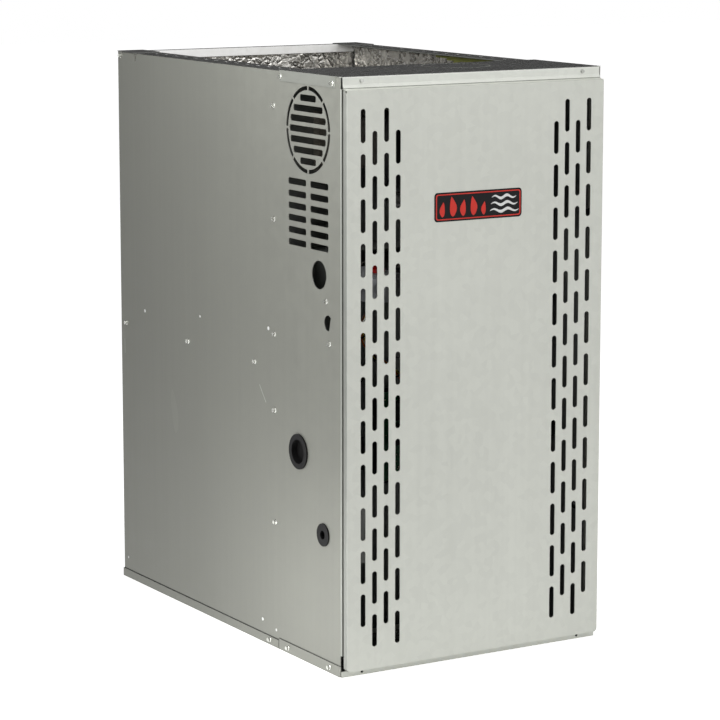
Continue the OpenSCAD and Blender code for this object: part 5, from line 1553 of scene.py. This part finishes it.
class FURNACE_OT_board_parts(bpy.types.Operator):
    """Fills the control board with pins, resistors, capacitors and a chip"""

    bl_idname = "furnace.board_parts"
    bl_label = "Board parts"

    def execute(self, context):
        rows = []
        for x, z, count in PIN_ROWS:
            rows += [(x + PIN_PITCH * k, PIN_DEPTH, z) for k in range(count)]
        scatter("board_pins", from_front(rows), self.pin_mesh(), "brass", "brass")
        parts = self.parts(FRONT_Y + BOARD_DEPTH * MM)
        new_piece("board_parts", parts, "cabinet", "circuit_board", "plastic", "machined", "ceramic")
        return {"FINISHED"}

    def pin_mesh(self):
        work = bmesh.new()
        half, low, high = (value * MM for value in PIN_SIZE)
        block(work, Vector((-half, -half, low)), Vector((half, half, high)), BEVELS["pin"])
        return mesh_from(work)

    def parts(self, face):
        """Relays, plugs, capacitor cans, resistors and a chip, all in front of the board."""
        work = bmesh.new()

        def box(x, z, size, skin, bevel):
            low = Vector((x * MM, face - size[1] * MM, z * MM)) - Vector((skin, skin, skin))
            high = Vector(((x + size[0]) * MM, face, (z + size[2]) * MM)) + Vector((skin, 0, skin))
            block(work, low, high, bevel)

        def finished(key, first):
            work.faces.ensure_lookup_table()
            for item in work.faces[first:]:
                item.material_index = key
            return len(work.faces)

        for case in DARK_CASES:
            box(*case, CASE_SKIN, BEVELS["case"])
        box(*CHIP_AT, CHIP_SIZE, 0, BEVELS["chip"])
        for x, z, radius, tall in CAPACITORS:
            self.can(work, Vector((x * MM, face, z * MM)), radius * MM, tall * MM)
        first = finished(0, 0)
        for k in range(CHIP_LEGS):
            for z in (CHIP_AT[1] - LEG_SIZE[2], CHIP_AT[1] + CHIP_SIZE[2]):
                box(CHIP_AT[0] + LEG_START + LEG_PITCH * k, z, LEG_SIZE, 0, 0)
        first = finished(1, first)
        for case in PLUG_CASES:
            box(*case, CASE_SKIN, BEVELS["socket"])
        for k in range(RESISTORS):
            at = Vector(((RESISTOR_AT[0] + RESISTOR_PITCH * k) * MM, face - RESISTOR_R, RESISTOR_AT[1] * MM))
            self.resistor(work, at)
        finished(2, first)
        return mesh_from(work)

    def can(self, work, at, radius, tall):
        """A capacitor can with its crimped groove and sunk lid, standing towards the front."""
        rim, lid = radius * CAN_RIM, tall - LID_SINK
        groove = [(radius * share, tall * height) for share, height in CAN_GROOVE]
        lathe(work, [
            (0, 0), (radius, 0), *groove, (radius, tall - radius * CAN_SHOULDER), (rim, tall),
            (rim - LID_INSET, lid), (0, lid),
        ], SIDES["can"], at, Vector((0, -1, 0)))

    def resistor(self, work, at):
        """A dog-bone body between its two leads, along Z."""
        half = RESISTOR_HALF
        side = [(RESISTOR_R * wide, half * along) for wide, along in RESISTOR_PROFILE]
        lower = [(radius, -along) for radius, along in side]
        lathe(work, [(0, -half), *lower, *side[::-1], (0, half)], SIDES["resistor"], at)


class FURNACE_OT_panel_marks(bpy.types.Operator):
    """Adds what handling left on the left panel: dimples, and the bent flap of the wire hole"""

    bl_idname = "furnace.panel_marks"
    bl_label = "Panel marks"

    def execute(self, context):
        dimples = [Vector((-HALF_W, FRONT_Y + depth * MM, z * MM)) for depth, z in DIMPLES]
        # Painted highlight: the dimples take the back panel's near-white colour
        scatter("panel_dimples", dimples, self.dimple_mesh(), "back", "galvanised_steel", *DIMPLE_SCALES)
        # Painted highlight: the flap takes the door's lighter colour, not the side panel's
        new_piece("wire_hole_flap", self.flap(), "cabinet", "galvanised_steel", "door")
        first, last = PERFORATIONS
        across = HALF_W - PERFORATION_INSET
        lips = [
            Vector((side * across, FRONT_Y + (first + k * PERFORATION_PITCH) * MM, FLANGE_TOP))
            for side in (-1, 1)
            for k in range(int((last - first) / PERFORATION_PITCH) + 1)
        ]
        # Painted highlight: the lips take the back panel's near-white colour, with painted shade on their
        # tops
        scatter("perforation_lips", lips, self.lip_mesh(), "back", "galvanised_steel")
        return {"FINISHED"}

    def lip_mesh(self):
        """A narrow raised frame round one slot of a duct flange, with its top rolled inwards."""
        half_w, half_l, wide, tall = (value * MM for value in LIP_SIZE)
        work = bmesh.new()
        loops = [
            [
                work.verts.new(Vector((x * (half_w + grow), y * (half_l + grow), z)))
                for x, y in ((-1, -1), (1, -1), (1, 1), (-1, 1))
            ]
            for grow, z in ((wide, 0.0), (wide * 0.5, tall), (0.0, tall), (0.0, 0.0))
        ]
        bridge(work, loops + loops[:1])
        return mesh_from(work)

    def dimple_mesh(self):
        """A shallow ring-shaped mark on a face that looks along -X."""
        work = bmesh.new()
        profile = [(radius * MM, height * MM) for radius, height in DIMPLE_PROFILE]
        lathe(work, profile, SIDES["dimple"], Vector(), Vector((-1, 0, 0)))
        return mesh_from(work, True)

    def flap(self):
        """The crescent of sheet in the wire hole that was bent in when the hole was opened."""
        s = sizes()
        depth, height, radius = (value * MM for value in (*WIRE_HOLE, WIRE_HOLE_R))
        chord = WIRE_FLAP_AT * MM
        lean = math.radians(WIRE_FLAP_LEAN)
        reach = math.acos(chord / radius)
        work = bmesh.new()
        loops = []
        for k in range(1, FLAP_STEPS):
            angle = reach * (2 * k / FLAP_STEPS - 1)
            along = radius * math.sin(angle)
            out = radius * math.cos(angle) - chord
            ring = []
            for share, inner in ((0, 0), (1, 0), (1, 1), (0, 1)):
                back = chord + out * share * math.cos(s.flap_angle)
                inward = out * share * math.sin(s.flap_angle) + inner * s.flap_thickness
                ring.append(work.verts.new(Vector((
                    -HALF_W + inward,
                    FRONT_Y + depth - back * math.cos(lean) - along * math.sin(lean),
                    height - back * math.sin(lean) + along * math.cos(lean),
                ))))
            loops.append(ring)
        bridge(work, loops)
        work.faces.new(loops[0])
        work.faces.new(loops[-1][::-1])
        return mesh_from(work)


# The lamps in metres: the setting of each one's power, its size, its place, and the point that it looks at
LAMPS = {
    "front_light": ("key_power", (2.4, 2.4), (1.6, -4.2, 1.9), (0, 0, 0.45)),
    "side_light": ("side_power", (0.3, 0.9), (-0.93, -0.32, 1.39), (-0.22, -0.32, 1.39)),
    "low_light": ("low_power", (0.24, 0.15), (-0.57, -0.25, 0.09), (-0.22, -0.25, 0.09)),
    "top_light": ("top_power", (2.0, 2.0), (0.2, -1.0, 3.4), (0, 0, 0.6)),
}

# The dark boards in metres: the two ends of each one's foot, and its height
FLAGS = {
    "rear_flag": ((-2.5, 5.0, 1.0), (7.5, 5.0, 1.0), 3.5),
    "left_flag": ((-0.75, 0.25, -0.1), (-2.0, 3.2, -0.1), 2.0),
}
FLAG_COLOUR = (0.004, 0.004, 0.004, 1)
WHITE = (1, 1, 1, 1)

# The camera's sensor in millimetres, and how far it sees in metres
SENSOR_W = 36.0
VIEW_REACH = 100.0

# The floor: half its size, how far it lies under the object, and how much of it glows towards the camera
FLOOR_REACH = 14.0
FLOOR_SINK = 0.5 * MM
FLOOR_GLOW = 0.8
FLOOR_ROUGHNESS = 0.9


class FURNACE_OT_stage(bpy.types.Operator):
    """Sets the floor, the lights and the camera"""

    bl_idname = "furnace.stage"
    bl_label = "Stage"

    def execute(self, context):
        self.floor()
        self.sky(context.scene)
        for name, lamp in LAMPS.items():
            self.lamp(name, *lamp)
        for name, flag in FLAGS.items():
            self.flag(name, *flag)
        self.camera(context.scene)
        return {"FINISHED"}

    def floor(self):
        work = bmesh.new()
        bmesh.ops.create_grid(work, x_segments=1, y_segments=1, size=FLOOR_REACH)
        floor = placed("studio_floor", mesh_from(work))
        floor.data.transform(Matrix.Translation((0, 0, -FLOOR_SINK)))
        finish = Finish("studio_floor")
        finish.set(Base_Color=colours().floor, Roughness=FLOOR_ROUGHNESS)
        glow = {"Color": WHITE, "Strength": finish.product(finish.seen(), FLOOR_GLOW)}
        parts = {0: finish.shader.outputs["BSDF"], 1: finish.out("ShaderNodeEmission", glow)}
        finish.feed(finish.output.inputs["Surface"], finish.out("ShaderNodeAddShader", parts))
        floor.data.materials.append(finish.material)

    def flag(self, name, start, end, height):
        """A dark board that only soft and mirrored light sees, as a studio sets one to shade metal."""
        foot, tip = Vector(start), Vector(end)
        rise = Vector((0, 0, height))
        mesh = bpy.data.meshes.new(name)
        mesh.from_pydata([foot, tip, tip + rise, foot + rise], [], [(0, 1, 2, 3)])
        board = placed(name, mesh)
        board.visible_camera = False
        board.visible_shadow = False
        finish = Finish(name)
        finish.set(Base_Color=FLAG_COLOUR, Roughness=1.0)
        mesh.materials.append(finish.material)

    def sky(self, scene):
        """White where it is seen or mirrored, and dimmer where it lights the object."""
        world = bpy.data.worlds.new("studio")
        world.use_nodes = True
        tree = NodeTree(world.node_tree)
        links = {"Color": WHITE, "Strength": tree.ramp(tree.seen(), 0.0, 1.0, stage_settings().sky, 1.0)}
        tree.node("ShaderNodeOutputWorld", {"Surface": tree.out("ShaderNodeBackground", links)})
        scene.world = world

    def lamp(self, name, power, size, place, target):
        light = bpy.data.lights.new(name, "AREA")
        light.energy = getattr(stage_settings(), power)
        light.shape = "RECTANGLE"
        light.size, light.size_y = size
        lamp = placed(name, light)
        lamp.location = place
        lamp.rotation_euler = (Vector(target) - Vector(place)).to_track_quat("-Z", "Y").to_euler()
        lamp.visible_camera = False

    def camera(self, scene):
        s = stage_settings()
        lens = bpy.data.cameras.new("photo_camera")
        lens.lens = s.lens
        lens.sensor_width = SENSOR_W
        lens.shift_y = s.rise
        lens.clip_end = VIEW_REACH
        camera = placed("photo_camera", lens)
        camera.location = s.eye
        camera.rotation_euler = (math.pi / 2 - s.pitch, 0, -s.yaw)
        scene.camera = camera
        scene.view_settings.view_transform = "Standard"


class FURNACE_PT_pieces(bpy.types.Panel):
    """Lists the steps that dress the furnace"""

    bl_idname = "FURNACE_PT_pieces"
    bl_label = "Furnace"
    bl_space_type = "VIEW_3D"
    bl_region_type = "UI"
    bl_category = "Furnace"

    def draw(self, context):
        for step in STEPS:
            self.layout.operator(step.bl_idname)
        for group in (colours(), sizes(), stage_settings()):
            box = self.layout.box()
            for name in group.__annotations__:
                box.prop(group, name)


STEPS = (
    FURNACE_OT_finishes, FURNACE_OT_screws, FURNACE_OT_insulation, FURNACE_OT_wiring, FURNACE_OT_hose,
    FURNACE_OT_inducer_wheel, FURNACE_OT_badge, FURNACE_OT_board_parts, FURNACE_OT_panel_marks,
    FURNACE_OT_stage,
)
GROUPS = {"furnace_colours": FurnaceColours, "furnace_sizes": FurnaceSizes, "furnace_stage": FurnaceStage}


def register():
    for group in GROUPS.values():
        bpy.utils.register_class(group)
    for name, group in GROUPS.items():
        setattr(bpy.types.Scene, name, PointerProperty(type=group))
    for step in (*STEPS, FURNACE_PT_pieces):
        bpy.utils.register_class(step)


def unregister():
    for step in reversed((*STEPS, FURNACE_PT_pieces)):
        bpy.utils.unregister_class(step)
    for name in GROUPS:
        delattr(bpy.types.Scene, name)
    for group in reversed(GROUPS.values()):
        bpy.utils.unregister_class(group)


def main():
    register()
    for step in STEPS:
        module, name = step.bl_idname.split(".")
        getattr(getattr(bpy.ops, module), name)()


if __name__ == "__main__":
    main()
